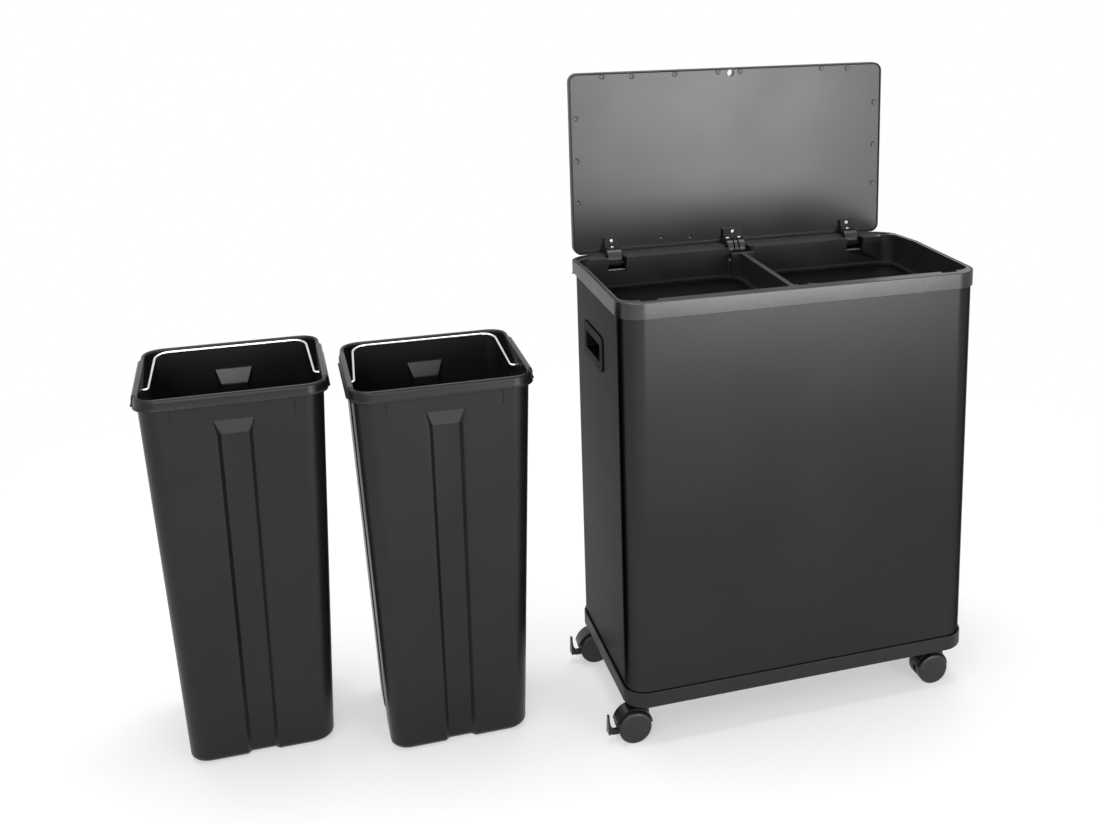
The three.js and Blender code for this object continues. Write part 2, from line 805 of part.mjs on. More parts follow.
function hingePin(hinge) {
  const reach = hinge.half + notchSideGap + cheekThickness - 1 - clearance;
  const from = [hinge.x - reach, pivotY, pivotZ];
  return toGeometry(rod(pinRadius, from, [hinge.x + reach, pivotY, pivotZ], pinSides));
}

function springLeaf() {
  const half = springWidth / 2;
  const shape = armShape(armReach, springThickness);
  let solid = alongX(shape, -half, half);
  const atBlock = box(-half, half, blockFaceY - clearance, leafBackY, blockBottomZ, plateTopZ);
  solid = solid.subtract(atBlock);
  const rolled = knuckleRadius - 1;
  solid = solid.add(rod(rolled, [-half, pivotY, pivotZ], [half, pivotY, pivotZ], pinSides));
  solid = solid.subtract(rod(
    pinRadius + pinFit,
    [-half - 1, pivotY, pivotZ],
    [half + 1, pivotY, pivotZ],
    pinSides,
  ));
  return toGeometry(solid);
}

function hingeScrew(screw) {
  const headBack = screw.face + screwHeadHeight - clearance;
  const headFront = headBack - screwHeadHeight;
  const head = rod(
    screwHeadRadius,
    [screw.x, headFront, screw.z],
    [screw.x, headBack, screw.z],
    pinSides,
  );
  const shank = rod(
    screwShankRadius,
    [screw.x, headBack - 1, screw.z],
    [screw.x, linerFaceY + linerThickness + 1, screw.z],
    smallSides,
  );
  return toGeometry(head.add(shank));
}

// ---------------------------------------------------------------- casters
const axleZ = wheelRadius;
const wheelInner = wheelGap / 2;
const wheelOuter = wheelInner + wheelThickness;
const axleHalf = wheelOuter - axleEndCover - clearance;
const hoodInner = wheelRadius + hoodGap;
const hoodOuter = hoodInner + hoodThickness;
const neckHigh = baseUnderside - axleZ - clearance; // top of the neck over the axle
const stemSeat = neckHigh - stemLength; // the stem pin stands in the neck at this height

// The wheel about its own axle, which lies along Y; side is -1 for the near wheel.
function wheel(side) {
  const points = [
    [0, wheelOuter],
    [wheelRadius - wheelEdge * 2, wheelOuter],
    [wheelRadius, wheelOuter - wheelEdge],
    [wheelRadius, wheelInner],
    [wheelRadius - wheelWall, wheelInner],
    [wheelRadius - wheelWall, wheelOuter - wheelWall],
    [wheelHubRadius, wheelOuter - wheelWall],
    [wheelHubRadius, wheelInner + clearance],
    [axleRadius + axleFit, wheelInner + clearance],
    [axleRadius + axleFit, wheelOuter - axleEndCover],
    [0, wheelOuter - axleEndCover],
  ];
  const profile = points.map(([radius, along]) => new THREE.Vector2(radius, side * along));
  if (side > 0) {
    profile.reverse();
  }
  const geometry = new THREE.LatheGeometry(profile, roundSides);
  return toGeometry(toSolid(geometry));
}

// The yoke about the axle: hood over the wheels, web between them, neck at the leading side.
function yoke(withLever) {
  const hoodHalf = hoodWidth / 2;
  const arch = new THREE.Shape();
  const start = THREE.MathUtils.degToRad(hoodStart);
  const end = THREE.MathUtils.degToRad(hoodEnd);
  arch.absarc(0, 0, hoodOuter, start, end);
  arch.absarc(0, 0, hoodInner, end, start, true);
  arch.closePath();
  let solid = alongY(arch, -hoodHalf, hoodHalf, hoodSteps);
  const webHalf = webThickness / 2;
  solid = solid.add(rod(webRadius, [0, -webHalf, 0], [0, webHalf, 0], roundSides));
  const pie = new THREE.Shape();
  pie.absarc(0, 0, (hoodInner + hoodOuter) / 2, start, end);
  pie.lineTo(0, 0);
  pie.closePath();
  solid = solid.add(alongY(pie, -webHalf, webHalf, hoodSteps));
  const neck = rod(neckRadius, [casterTrail, 0, 0], [casterTrail, 0, neckHigh], neckSides);
  const insideHood = rod(hoodInner + hoodThickness / 2, [0, -hoodHalf, 0], [0, hoodHalf, 0], hoodSides);
  solid = solid.add(neck.subtract(insideHood));
  const boreHalf = webHalf + 1;
  solid = solid.subtract(rod(axleRadius + axleFit, [0, -boreHalf, 0], [0, boreHalf, 0], pinSides));
  solid = solid.subtract(rod(
    stemRadius + clearance,
    [casterTrail, 0, stemSeat - clearance],
    [casterTrail, 0, neckHigh + 1],
    pinSides,
  ));
  if (withLever) {
    solid = solid.subtract(leverRoom());
  }
  return toGeometry(solid);
}

function stemPin() {
  const top = baseUnderside - axleZ + stemLength - clearance;
  return toGeometry(rod(stemRadius, [casterTrail, 0, stemSeat], [casterTrail, 0, top], pinSides));
}

function axle() {
  return toGeometry(rod(axleRadius, [0, -axleHalf, 0], [0, axleHalf, 0], pinSides));
}

// Room in the web for the lever's knuckle and for the sweep of its arm.
function leverRoom() {
  const half = webThickness / 2 + 1;
  const knuckle = rod(
    leverKnuckleRadius + clearance,
    [-leverPivotBehind, -half, -leverPivotDrop],
    [-leverPivotBehind, half, -leverPivotDrop],
    roundSides,
  );
  const sweep = box(-hoodOuter, -leverPivotBehind - clearance, -half, half, -hoodOuter, -clearance * 2);
  return knuckle.add(sweep);
}

function brakeLever() {
  const half = leverThickness / 2;
  const middle = -leverPivotDrop;
  const armTop = middle + leverArmHeight / 2;
  const armFoot = middle - leverArmHeight / 2;
  const root = -leverPivotBehind - leverKnuckleRadius / 2;
  const arm = polygon([
    [root, middle - leverKnuckleRadius * leverWaist],
    [root, middle + leverKnuckleRadius * leverWaist],
    [root - leverShoulder, armTop],
    [-leverReach + leverBlend, armTop],
    [-leverReach + leverEdge, armTop + leverBlend],
    [-leverReach, leverTabTop - leverBlend],
    [-leverReach, armFoot + leverEdge],
    [-leverReach + leverBlend, armFoot],
    [root - leverShoulder, armFoot],
  ]);
  let solid = alongY(arm, -half, half);
  solid = solid.add(rod(
    leverKnuckleRadius,
    [-leverPivotBehind, -half, -leverPivotDrop],
    [-leverPivotBehind, half, -leverPivotDrop],
    neckSides,
  ));
  const tab = polygon([
    [-leverTabBottomWidth / 2, -leverTabBottom],
    [leverTabBottomWidth / 2, -leverTabBottom],
    [leverTabTopWidth / 2, leverTabTop],
    [-leverTabTopWidth / 2, leverTabTop],
  ]);
  solid = solid.add(alongX(tab, -leverReach - leverTabThickness, -leverReach + leverOverlap));
  return toGeometry(solid);
}

// ---------------------------------------------------------------- buckets
// One ring of points round the bucket: corners as arcs, a channel in the middle of each face
// and an ear along each of the two sides.
function bucketRing(width, depth, radius, z, channelWidth, channel, ear = 0) {
  const ring = [];
  const halfX = width / 2;
  const halfY = depth / 2;
  const arc = (cx, cy, from) => {
    for (let step = 0; step <= bucketCornerSteps; step += 1) {
      const angle = from + ((Math.PI / 2) * step) / bucketCornerSteps;
      ring.push([cx + radius * Math.cos(angle), cy + radius * Math.sin(angle), z]);
    }
  };
  // Points of a channel as [distance along the face, distance in from the face].
  const groove = [
    [-channelWidth / 2, 0],
    [-channelWidth / 2 + channelFlank, channel],
    [channelWidth / 2 - channelFlank, channel],
    [channelWidth / 2, 0],
  ];
  const face = (sign) => {
    groove.forEach(([along, inward]) => ring.push([sign * along, sign * (inward - halfY), z]));
  };
  const reach = halfY - radius - 1;
  const sideFace = (sign) => {
    const start = Math.max(-bucketEarStart, -reach + bucketEarFoot);
    const end = Math.min(bucketEarEnd, reach - bucketEarFoot);
    const points = [
      [start - bucketEarFoot, 0],
      [start, -ear],
      ...groove.map(([along, inward]) => [along, inward - ear]),
      [end, -ear],
      [end + bucketEarFoot, 0],
    ];
    const ordered = sign > 0 ? points : points.reverse();
    ordered.forEach(([along, inward]) => ring.push([sign * (halfX - inward), along, z]));
  };
  face(1);
  arc(halfX - radius, -halfY + radius, -Math.PI / 2);
  sideFace(1);
  arc(halfX - radius, halfY - radius, 0);
  face(-1);
  arc(-halfX + radius, halfY - radius, Math.PI / 2);
  sideFace(-1);
  arc(-halfX + radius, -halfY + radius, Math.PI);
  return ring;
}

function ringsToGeometry(rings) {
  const count = rings[0].length;
  const position = rings.flat(2);
  const index = [];
  for (let level = 0; level + 1 < rings.length; level += 1) {
    for (let at = 0; at < count; at += 1) {
      const next = (at + 1) % count;
      const a = level * count + at;
      const b = level * count + next;
      const c = a + count;
      const d = b + count;
      index.push(a, b, d, a, d, c);
    }
  }
  const close = (level, reverse) => {
    const middle = position.length / 3;
    const ring = rings[level];
    position.push(0, 0, ring[0][2]);
    for (let at = 0; at < count; at += 1) {
      const a = level * count + at;
      const b = level * count + ((at + 1) % count);
      index.push(...(reverse ? [middle, b, a] : [middle, a, b]));
    }
  };
  close(0, true);
  close(rings.length - 1, false);
  const geometry = new THREE.BufferGeometry();
  geometry.setAttribute('position', new THREE.Float32BufferAttribute(position, 3));
  geometry.setIndex(index);
  return geometry;
}

const rimBottom = bucketHeight - bucketRimHeight;
const bucketTopWidth = bucketRimWidth - 2 * bucketEar - 2 * bucketRimStandOut;
const bucketTopDepth = bucketRimDepth - 2 * bucketRimStandOut;
const bucketTopCorner = bucketRimCorner - bucketRimStandOut;
const bailPivotZ = bucketHeight - bailPivotDrop;

// Width, depth, corner and channel of the body at a height over the bucket's foot.
function bodyAt(z, inward) {
  const share = z / bucketHeight;
  const mix = (foot, top) => foot + (top - foot) * share;
  const below = bucketHeight - z;
  const grown = (below - channelStart) / (channelFull - channelStart);
  return {
    width: mix(bucketFootWidth, bucketTopWidth) - 2 * inward,
    depth: mix(bucketFootDepth, bucketTopDepth) - 2 * inward,
    corner: mix(bucketFootCorner, bucketTopCorner) - inward,
    channelWidth: mix(channelFootWidth, channelTopWidth),
    channel: channelDepth * Math.max(0, Math.min(1, grown)),
  };
}

// A ring of the body's section at one height, set at another and drawn in by a fillet.
function bodyRing(z, inward, atZ = z, shrink = 0) {
  const at = bodyAt(z, inward);
  const width = at.width - 2 * shrink;
  const depth = at.depth - 2 * shrink;
  return bucketRing(width, depth, at.corner - shrink / 2, atZ, at.channelWidth, at.channel);
}

function rimRing(grow, z) {
  const width = bucketRimWidth - 2 * bucketEar + 2 * grow;
  const depth = bucketRimDepth + 2 * grow;
  return bucketRing(width, depth, bucketRimCorner + grow, z, channelTopWidth, 0, bucketEar);
}

function bucketBody() {
  const full = bucketHeight - channelFull;
  const start = bucketHeight - channelStart;
  const underRim = bucketHeight - bucketRimTop;
  const bead = bucketRimBead;
  const foot = bucketFootFillet;
  const edge = bucketRimTop * filletBend;
  const solid = toSolid(ringsToGeometry([
    // Up the outside, with a rounded foot.
    bodyRing(0, 0, 0, foot),
    bodyRing(0, 0, foot * filletBend, foot * filletBend),
    bodyRing(foot, 0),
    bodyRing(full, 0),
    bodyRing(start, 0),
    bodyRing(underRim, 0),
    // Out under the rim, down the skirt's inside, round its bead and up over the rim.
    rimRing(-bead - bucketRimSkirt, underRim),
    rimRing(-bead - bucketRimSkirt, rimBottom),
    rimRing(0, rimBottom),
    rimRing(0, rimBottom + bucketRimSkirt),
    rimRing(-bead, rimBottom + bucketRimSkirt + bead),
    rimRing(-bead * 2, bucketHeight - bucketRimTop),
    rimRing(-bead * 2 - edge, bucketHeight - edge),
    rimRing(-bead * 2 - bucketRimTop, bucketHeight),
    // Down the inside to the floor.
    bodyRing(bucketHeight, bucketWall - 1),
    bodyRing(underRim, bucketWall, bucketHeight - 1),
    bodyRing(start, bucketWall),
    bodyRing(full, bucketWall),
    bodyRing(foot, bucketWall),
    bodyRing(0, bucketWall, bucketWall, foot),
  ]));
  const reach = bucketRimWidth;
  const hole = rod(
    bailWireRadius + bailHoleFit,
    [-reach, 0, bailPivotZ],
    [reach, 0, bailPivotZ],
    smallSides,
  );
  return toGeometry(solid.subtract(hole));
}

// A route through given points, one station of the tube at each of them.
class Stations extends THREE.Curve {
  constructor(points) {
    super();
    this.points = points;
  }

  getPointAt(share, target = new THREE.Vector3()) {
    return target.copy(this.points[Math.round(share * (this.points.length - 1))]);
  }

  getTangentAt(share, target = new THREE.Vector3()) {
    const at = Math.round(share * (this.points.length - 1));
    const before = this.points[Math.max(0, at - 1)];
    const after = this.points[Math.min(this.points.length - 1, at + 1)];
    return target.subVectors(after, before).normalize();
  }
}

// The wire about its pivot line: hooked ends through the walls, legs and rear bar.
function bail() {
  const wallX = bodyAt(bailPivotZ, 0).width / 2;
  const legX = wallX - bucketWall - bailInset;
  const rearX = legX - bailTaper;
  const inside = bodyAt(bailPivotZ + bailRise, bucketWall);
  const rearY = inside.depth / 2 - bailRearInset;
  const corner = bailCornerRadius;
  const bend = bailHook;
  const half = (sign) => {
    const side = [
      [wallX + bailEnd, 0],
      [legX + bend, 0],
      [legX + bend * filletBend, bend * filletBend],
      [legX, bend],
      [rearX, rearY - corner],
    ];
    bailCornerShares.forEach((share) => {
      const angle = (Math.PI / 2) * share;
      side.push([rearX - corner * (1 - Math.cos(angle)), rearY - corner * (1 - Math.sin(angle))]);
    });
    side.push([rearX - corner, rearY]);
    return side.map(([x, y]) => new THREE.Vector3(sign * x, y, (y * bailRise) / rearY));
  };
  const points = [...half(-1), ...half(1).reverse()];
  const section = new THREE.Shape();
  section.absarc(0, 0, bailWireRadius, 0, 2 * Math.PI);
  const geometry = new THREE.ExtrudeGeometry(section, {
    steps: points.length - 1,
    extrudePath: new Stations(points),
    curveSegments: bailSectionSteps,
  });
  return toGeometry(toSolid(geometry));
}

// ---------------------------------------------------------------- put together
place(cabinet, 'base_tray', baseTray(), 'blackPlastic');
place(cabinet, 'steel_shell', steelShell(), 'steel');
place(cabinet, 'top_collar', topCollar(), 'collar');
place(cabinet, 'inner_frame', innerFrame(), 'blackPlastic');
place(cabinet, 'side_grip_left', sideGrip(-1), 'steel');
place(cabinet, 'side_grip_right', sideGrip(1), 'steel');

place(cabinet, 'lid_panel', lidPanel(), 'blackPlastic');
place(cabinet, 'lid_liner', lidLiner(), 'lidGrey');
hinges.forEach((hinge) => {
  place(cabinet, `hinge_leaf_${hinge.name}`, hingeLeaf(hinge), 'blackPlastic');
  place(cabinet, `hinge_pin_${hinge.name}`, hingePin(hinge), 'brightSteel');
});
place(cabinet, 'hinge_spring_leaf', springLeaf(), 'blackPlastic');
hingeScrews().forEach((screw) => {
  place(cabinet, `lid_screw_${screw.name}`, hingeScrew(screw), 'brightSteel');
});

casterSpots().forEach((spot) => {
  const at = [spot.x - casterTrail, spot.y, axleZ];
  place(cabinet, `caster_${spot.name}_stem`, stemPin(), 'brightSteel', at);
  place(cabinet, `caster_${spot.name}_yoke`, yoke(spot.brake), 'casterPlastic', at);
  place(cabinet, `caster_${spot.name}_axle`, axle(), 'brightSteel', at);
  place(cabinet, `caster_${spot.name}_wheel_outer`, wheel(-1), 'wheelPlastic', at);
  place(cabinet, `caster_${spot.name}_wheel_inner`, wheel(1), 'wheelPlastic', at);
  if (spot.brake) {
    place(cabinet, `caster_${spot.name}_brake_lever`, brakeLever(), 'casterPlastic', at);
  }
});

const bucketPlaces = [
  { name: 'left', x: bucketOneX, y: bucketOneBehind },
  { name: 'right', x: bucketTwoX, y: bucketTwoBehind },
];
bucketPlaces.forEach((spot) => {
  place(cabinet, `bucket_${spot.name}`, bucketBody(), 'bucketPlastic', [spot.x, spot.y, 0]);
  const pivot = [spot.x, spot.y, bailPivotZ];
  place(cabinet, `bail_${spot.name}`, bail(), 'brightSteel', pivot);
});

export default assembly;
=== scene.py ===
import math

import bmesh
import bpy
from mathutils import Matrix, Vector


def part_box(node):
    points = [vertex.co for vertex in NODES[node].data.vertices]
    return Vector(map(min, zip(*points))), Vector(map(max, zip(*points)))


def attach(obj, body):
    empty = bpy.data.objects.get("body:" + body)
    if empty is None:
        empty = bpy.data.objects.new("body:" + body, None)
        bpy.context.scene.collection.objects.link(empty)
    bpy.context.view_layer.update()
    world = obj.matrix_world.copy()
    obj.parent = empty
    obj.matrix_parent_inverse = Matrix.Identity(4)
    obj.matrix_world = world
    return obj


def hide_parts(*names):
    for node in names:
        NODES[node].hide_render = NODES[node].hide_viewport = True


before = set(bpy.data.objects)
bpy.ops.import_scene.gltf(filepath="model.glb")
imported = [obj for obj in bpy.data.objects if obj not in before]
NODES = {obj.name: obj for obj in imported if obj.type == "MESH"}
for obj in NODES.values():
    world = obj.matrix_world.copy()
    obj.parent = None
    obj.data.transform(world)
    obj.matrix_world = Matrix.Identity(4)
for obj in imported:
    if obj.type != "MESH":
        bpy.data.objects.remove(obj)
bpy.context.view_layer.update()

# ------------------------------------------------------------------ sizes, in millimetres
MM = 0.001

# Cabinet. X and Y count from its middle on the floor, Z from the floor.
CABINET = (335.5, -46.0)
HALF_X = 289.5  # the steel shell's outside
HALF_Y = 161.0
CORNER = 35.0
SHELL_WALL = 0.8
BAND_OUT = 3.0  # the collar and the base tray stand this far out from the shell
BAND_WALL = 2.7
JOIN = 0.3  # how far pieces that are joined reach past or into each other
CUT_OVER = 2.0  # how far a cutter reaches past what it cuts

# Collar. Behind the shell it carries on as an overhang, and its top slopes down to the rear.
TOP = 716.0
COLLAR_LOW = 691.0
COLLAR_LIP = 1.3
COLLAR_STEPS = 18
OVERHANG_Y = 188.0
OVERHANG_LOW = 684.0
OVERHANG_CORNER = 48.0
OVERHANG_SHEET = 1.8
SLOPE = 128.0
SLOPE_DROP = 8.0

# Base tray
BASE_LOW = 66.0
BASE_TOP = 91.0
TRAY_FLOOR = 83.0
TRAY_SHEET = 2.5
TRAY_RIBS = (5, 2)  # across the width, across the depth
TRAY_RIB_HALF = 1.25

# Side grips
GRIP_Y = 20.5
GRIP_Z = 602.0
GRIP_LENGTH = 89.0
GRIP_HEIGHT = 28.0
GRIP_HOLE_GROW = 2.0
GRIP_HOLE_CORNER = 5.0

# Hinge pockets in the inner frame, which get painted shade, and the level above which the frame's
# upward faces get painted light
HINGE_X = 215.0
POCKET_HALF = 16.5
POCKET_FRONT = 138.5
POCKET_TOP = 704.0
PAINTED_LIGHT_LEVEL = 690.0

# Lid, open
LID_FACE = 146.0
LID_THICK = 14.0
LID_HALF = 279.0
LID_LOW = 706.3
LID_HIGH = 1009.4
LID_CORNER = 14.5
LINER_BACK = 2.0  # the liner's sheet lies this far behind the lid's rim
LINER_GROOVE = (7.4, 8.6)  # from the lid's lower edge
LINER_GROOVE_HALF = 266.0
LINER_GROOVE_DEPTH = 0.6
FINGER_HOLE = 5.9
FINGER_Z = 1000.9
# Small round marks on the liner, from the lid's middle and over the floor
LINER_MARKS = [
    (-223, 1002.8), (-172.7, 1001.5), (-98.6, 1002.8), (-22.8, 1003.4), (16.9, 1003),
    (165.3, 1002.8), (213.9, 1001), (-268.5, 936.2), (-268.5, 866), (-268.5, 795.5),
    (266, 940), (266, 865.5), (266, 795.5), (-127, 727.2), (-75.2, 723.9),
]

# Casters
CASTER_X = 258.5
CASTER_Y = 129.0
TRAIL = 20.0  # from the stem to the axle
WHEEL_RADIUS = 26.0

# Buckets, by the middle of each on the floor
BUCKETS = {"left": (-490.5, 78.0), "right": (-198.5, 10.0)}
BUCKET_HEIGHT = 597.0
BUCKET_FOOT = 210.0
BUCKET_UPPER = (257.0, 252.0)  # the wall's outside in X and Y, at the rim's height
BUCKET_CORNERS = (27.0, 28.0)  # at the foot and at the rim's height
BUCKET_WALL = 2.5
BUCKET_LEVELS = (60, 200, 340, 480, 529, 531, 533, 553, 555, 557, 575)
RIM = (269.0, 264.0)
RIM_CORNER = 34.0
RIM_EAR = 3.0  # how far the ears on the rim's two sides stand out
RIM_EAR_SPAN = (-118.0, 72.0)
CHANNEL_WIDTHS = (46.0, 50.0)  # at the foot and at the rim's height
CHANNEL_DEPTH = 7.0
CHANNEL_FLARE = 9.0  # how much wider the channel is where it runs out
CHANNEL_END = 42.0  # the channel runs out this far below the top
CHANNEL_SLOPE = 24.0  # over this height
# Where the channels' sloping facets lie, which get painted light
FACET_REACH = 19.0
FACET_LEVELS = (531.0, 555.0)
RIM_RIB_X = 85.0
RIM_RIB_Y = (123.5, 125.7)
RIM_RIB_Z = (556.0, 580.0)
RIM_RIB_HALF = 0.4

# Bails
BAIL_Z = 572.0
BAIL_RISE = 21.0  # from the pivot to the bar that lies on the rear rim
BAIL_RADIUS = 2.2
BAIL_HOLE = 2.7
BAIL_GAP = 6.0  # from the bucket's wall to the legs
BAIL_LEAN = 6.0  # how much closer together the legs are at the bar
BAIL_HOOK = 5.0
BAIL_CORNER = 22.0

# ------------------------------------------------------------------ materials
FINE_SHARE = 0.5  # of the change in colour; the rest comes from the broad patches
NOISE_SPAN = (0.3, 0.7)  # nearly all of a noise's values lie between these


def noise(nodes, links, where, scale, stretch, rough):
    mapping = nodes.new("ShaderNodeMapping")
    mapping.inputs["Scale"].default_value = stretch
    links.new(where, mapping.inputs["Vector"])
    tex = nodes.new("ShaderNodeTexNoise")
    tex.inputs["Scale"].default_value = scale
    tex.inputs["Detail"].default_value = 3.0
    tex.inputs["Roughness"].default_value = rough
    links.new(mapping.outputs["Vector"], tex.inputs["Vector"])
    return tex.outputs["Fac"]


def spread(nodes, links, value, low, high):
    """Spreads a noise over low to high."""
    span = nodes.new("ShaderNodeMapRange")
    span.inputs["From Min"].default_value = NOISE_SPAN[0]
    span.inputs["From Max"].default_value = NOISE_SPAN[1]
    span.inputs["To Min"].default_value = low
    span.inputs["To Max"].default_value = high
    links.new(value, span.inputs["Value"])
    return span.outputs["Result"]


def finish_of(
    name,
    levels,
    rough,
    metallic=0.0,
    grain=900.0,
    stretch=(1, 1, 1),
    blotch=9.0,
    bump=0.12,
    depth=0.0001,
    specular=0.5,
    edge=1.0,
):
    """A grey with fine grain in colour and relief, and broad patches in the gloss.

    levels and rough are pairs of the lowest and the highest value. grain and blotch are scales
    of noise, depth is in metres, and edge is the strength of a reflection at a grazing angle.
    """
    mat = bpy.data.materials.new(name)
    mat.use_nodes = True
    nodes, links = mat.node_tree.nodes, mat.node_tree.links
    nodes.clear()
    out = nodes.new("ShaderNodeOutputMaterial")
    shader = nodes.new("ShaderNodeBsdfPrincipled")
    links.new(shader.outputs["BSDF"], out.inputs["Surface"])

    where = nodes.new("ShaderNodeTexCoord").outputs["Object"]
    fine = noise(nodes, links, where, grain, stretch, 0.6)
    broad = noise(nodes, links, where, blotch, (1, 1, 1), 0.5)
    both = nodes.new("ShaderNodeMath")
    both.operation = "MULTIPLY_ADD"
    both.inputs[1].default_value = FINE_SHARE
    links.new(fine, both.inputs[0])
    links.new(spread(nodes, links, broad, 0.0, 1 - FINE_SHARE), both.inputs[2])
    colour = nodes.new("ShaderNodeMix")
    colour.data_type = "RGBA"
    for socket, level in zip("AB", levels):
        colour.inputs[socket].default_value = (level, level, level, 1)
    links.new(both.outputs["Value"], colour.inputs["Factor"])
    relief = nodes.new("ShaderNodeBump")
    relief.inputs["Strength"].default_value = bump
    relief.inputs["Distance"].default_value = depth
    links.new(fine, relief.inputs["Height"])

    links.new(colour.outputs["Result"], shader.inputs["Base Color"])
    links.new(spread(nodes, links, broad, *rough), shader.inputs["Roughness"])
    links.new(relief.outputs["Normal"], shader.inputs["Normal"])
    shader.inputs["Metallic"].default_value = metallic
    shader.inputs["Specular IOR Level"].default_value = specular
    shader.inputs["Specular Tint"].default_value = (edge, edge, edge, 1)
    return mat


SHELL = finish_of(
    "shell_paint", (0.030, 0.036), (0.22, 0.26), 1.0,
    grain=700.0, blotch=5.0, bump=0.06, depth=0.00006, edge=0.40,
)
SHELL_INSIDE = finish_of(
    "shell_inside", (0.030, 0.045), (0.50, 0.62),
    grain=700.0, blotch=5.0, bump=0.06, depth=0.00006, specular=0.3,
)
COLLAR = finish_of(
    "collar_satin", (0.058, 0.072), (0.24, 0.30), 1.0,
    grain=600.0, stretch=(0.25, 0.25, 1), blotch=12.0, bump=0.08, depth=0.00006, edge=0.70,
)
GRIP = finish_of(
    "grip_paint", (0.030, 0.040), (0.30, 0.38), 1.0,
    blotch=20.0, bump=0.1, depth=0.00006, edge=0.40,
)
FRAME = finish_of(
    "frame_moulding", (0.008, 0.014), (0.34, 0.46),
    grain=1400.0, blotch=14.0, bump=0.25, specular=0.45,
)
# Painted light: a lighter copy of the frame's moulding for its upward faces high up, where the
# light from above falls
FRAME_PAINTED_LIGHT = finish_of(
    "frame_upper_faces_painted_light", (0.030, 0.045), (0.34, 0.46),
    grain=1400.0, blotch=14.0, bump=0.25,
)
# Painted shade: a darker, duller copy of the frame's moulding for the faces inside the hinge
# pockets
FRAME_PAINTED_SHADE = finish_of(
    "frame_pockets_painted_shade", (0.002, 0.004), (0.50, 0.60),
    grain=1400.0, blotch=14.0, bump=0.25, specular=0.15,
)
BASE = finish_of(
    "base_moulding", (0.006, 0.010), (0.42, 0.54),
    grain=1400.0, blotch=14.0, bump=0.25, specular=0.28,
)
LID_OUTER = finish_of(
    "lid_moulding", (0.010, 0.018), (0.42, 0.54),
    grain=1700.0, blotch=11.0, bump=0.3, specular=0.4,
)
LID_LINER = finish_of(
    "lid_liner_sheen", (0.041, 0.053), (0.30, 0.37), 1.0,
    grain=1100.0, blotch=6.0, edge=0.8,
)
HINGE = finish_of(
    "hinge_moulding", (0.006, 0.012), (0.26, 0.36),
    grain=1500.0, blotch=30.0, bump=0.15,
)
PIN = finish_of(
    "pin_steel", (0.05, 0.08), (0.30, 0.40), 1.0, blotch=40.0, bump=0.03, depth=0.00003,
)
SCREW = finish_of(
    "screw_steel", (0.70, 0.85), (0.40, 0.50), 1.0, blotch=40.0, bump=0.03, depth=0.00003,
)
BRIGHT = finish_of(
    "bright_steel", (0.62, 0.78), (0.12, 0.22), 1.0, blotch=40.0, bump=0.03, depth=0.00003,
)
CASTER = finish_of(
    "caster_moulding", (0.006, 0.010), (0.24, 0.34),
    grain=1600.0, blotch=40.0, specular=0.35,
)
WHEEL = finish_of(
    "wheel_moulding", (0.010, 0.016), (0.36, 0.46),
    grain=1500.0, blotch=40.0, bump=0.15, specular=0.35,
)
# Painted light: the channels' sloping facets get a lighter grey than the bucket's wall, as well as
# a glossier finish
BUCKET_FACET_PAINTED_LIGHT = finish_of(
    "bucket_glossy_facets_painted_light", (0.014, 0.020), (0.24, 0.30),
    grain=1000.0, blotch=6.0, bump=0.08,
)
BUCKET = finish_of(
    "bucket_moulding", (0.004, 0.008), (0.30, 0.40),
    grain=1000.0, blotch=6.0, bump=0.15, specular=0.30,
)


# ------------------------------------------------------------------ dressing
def dress(obj, mat, body=None, stands_for=()):
    obj.data.materials.clear()
    obj.data.materials.append(mat)
    if body:
        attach(obj, body)
    if stands_for:
        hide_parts(*stands_for)


def repaint(obj, mats, pick):
    """Adds materials after the first one, and gives each face the one whose place pick says."""
    for mat in mats:
        obj.data.materials.append(mat)
    for face in obj.data.polygons:
        face.material_index = pick(face)


def soften(obj, width=0.0):
    """Small rounded edges, and smooth shading between faces that meet gently."""
    for face in obj.data.polygons:
        face.use_smooth = True
    if width:
        bevel = obj.modifiers.new("edges", "BEVEL")
        bevel.width = width * MM
        bevel.segments = 2
        bevel.limit_method = "ANGLE"
        bevel.angle_limit = math.radians(30)
    even = obj.modifiers.new("shading", "WEIGHTED_NORMAL")
    even.keep_sharp = True


def round_off(obj, angle=40.0):
    """Shades the shallow edges of a node smoothly."""
    bm = bmesh.new()
    bm.from_mesh(obj.data)
    for edge in bm.edges:
        if edge.calc_face_angle(math.pi) < math.radians(angle):
            edge.smooth = True
    bm.to_mesh(obj.data)
    bm.free()


# ------------------------------------------------------------------ outlines
def between(low, high, share):
    return low + (high - low) * share


def arc(across, along, radius, start, steps):
    """Points on a quarter circle from start degrees, with both ends."""
    turns = [math.radians(start + 90 * step / steps) for step in range(steps + 1)]
    return [(across + radius * math.cos(t), along + radius * math.sin(t)) for t in turns]


def rounded_outline(half, low, high, low_corner, high_corner, steps):
    """A rounded rectangle, from its corner at the right and low end round."""
    ring = []
    for across, along, radius, start in (
        (half - low_corner, low + low_corner, low_corner, -90),
        (half - high_corner, high - high_corner, high_corner, 0),
        (-half + high_corner, high - high_corner, high_corner, 90),
        (-half + low_corner, low + low_corner, low_corner, 180),
    ):
        ring += arc(across, along, radius, start, steps)
    return ring


def plan(grow=0.0, rear=None, rear_corner=None, steps=14):
    """The cabinet's outline seen from above, grown outward; the rear may have its own shape."""
    rear = HALF_Y + grow if rear is None else rear
    corner = CORNER + grow
    rear_corner = corner if rear_corner is None else rear_corner
    ring = rounded_outline(HALF_X + grow, -HALF_Y - grow, rear, corner, rear_corner, steps)
    return [(x + CABINET[0], y + CABINET[1]) for x, y in ring]


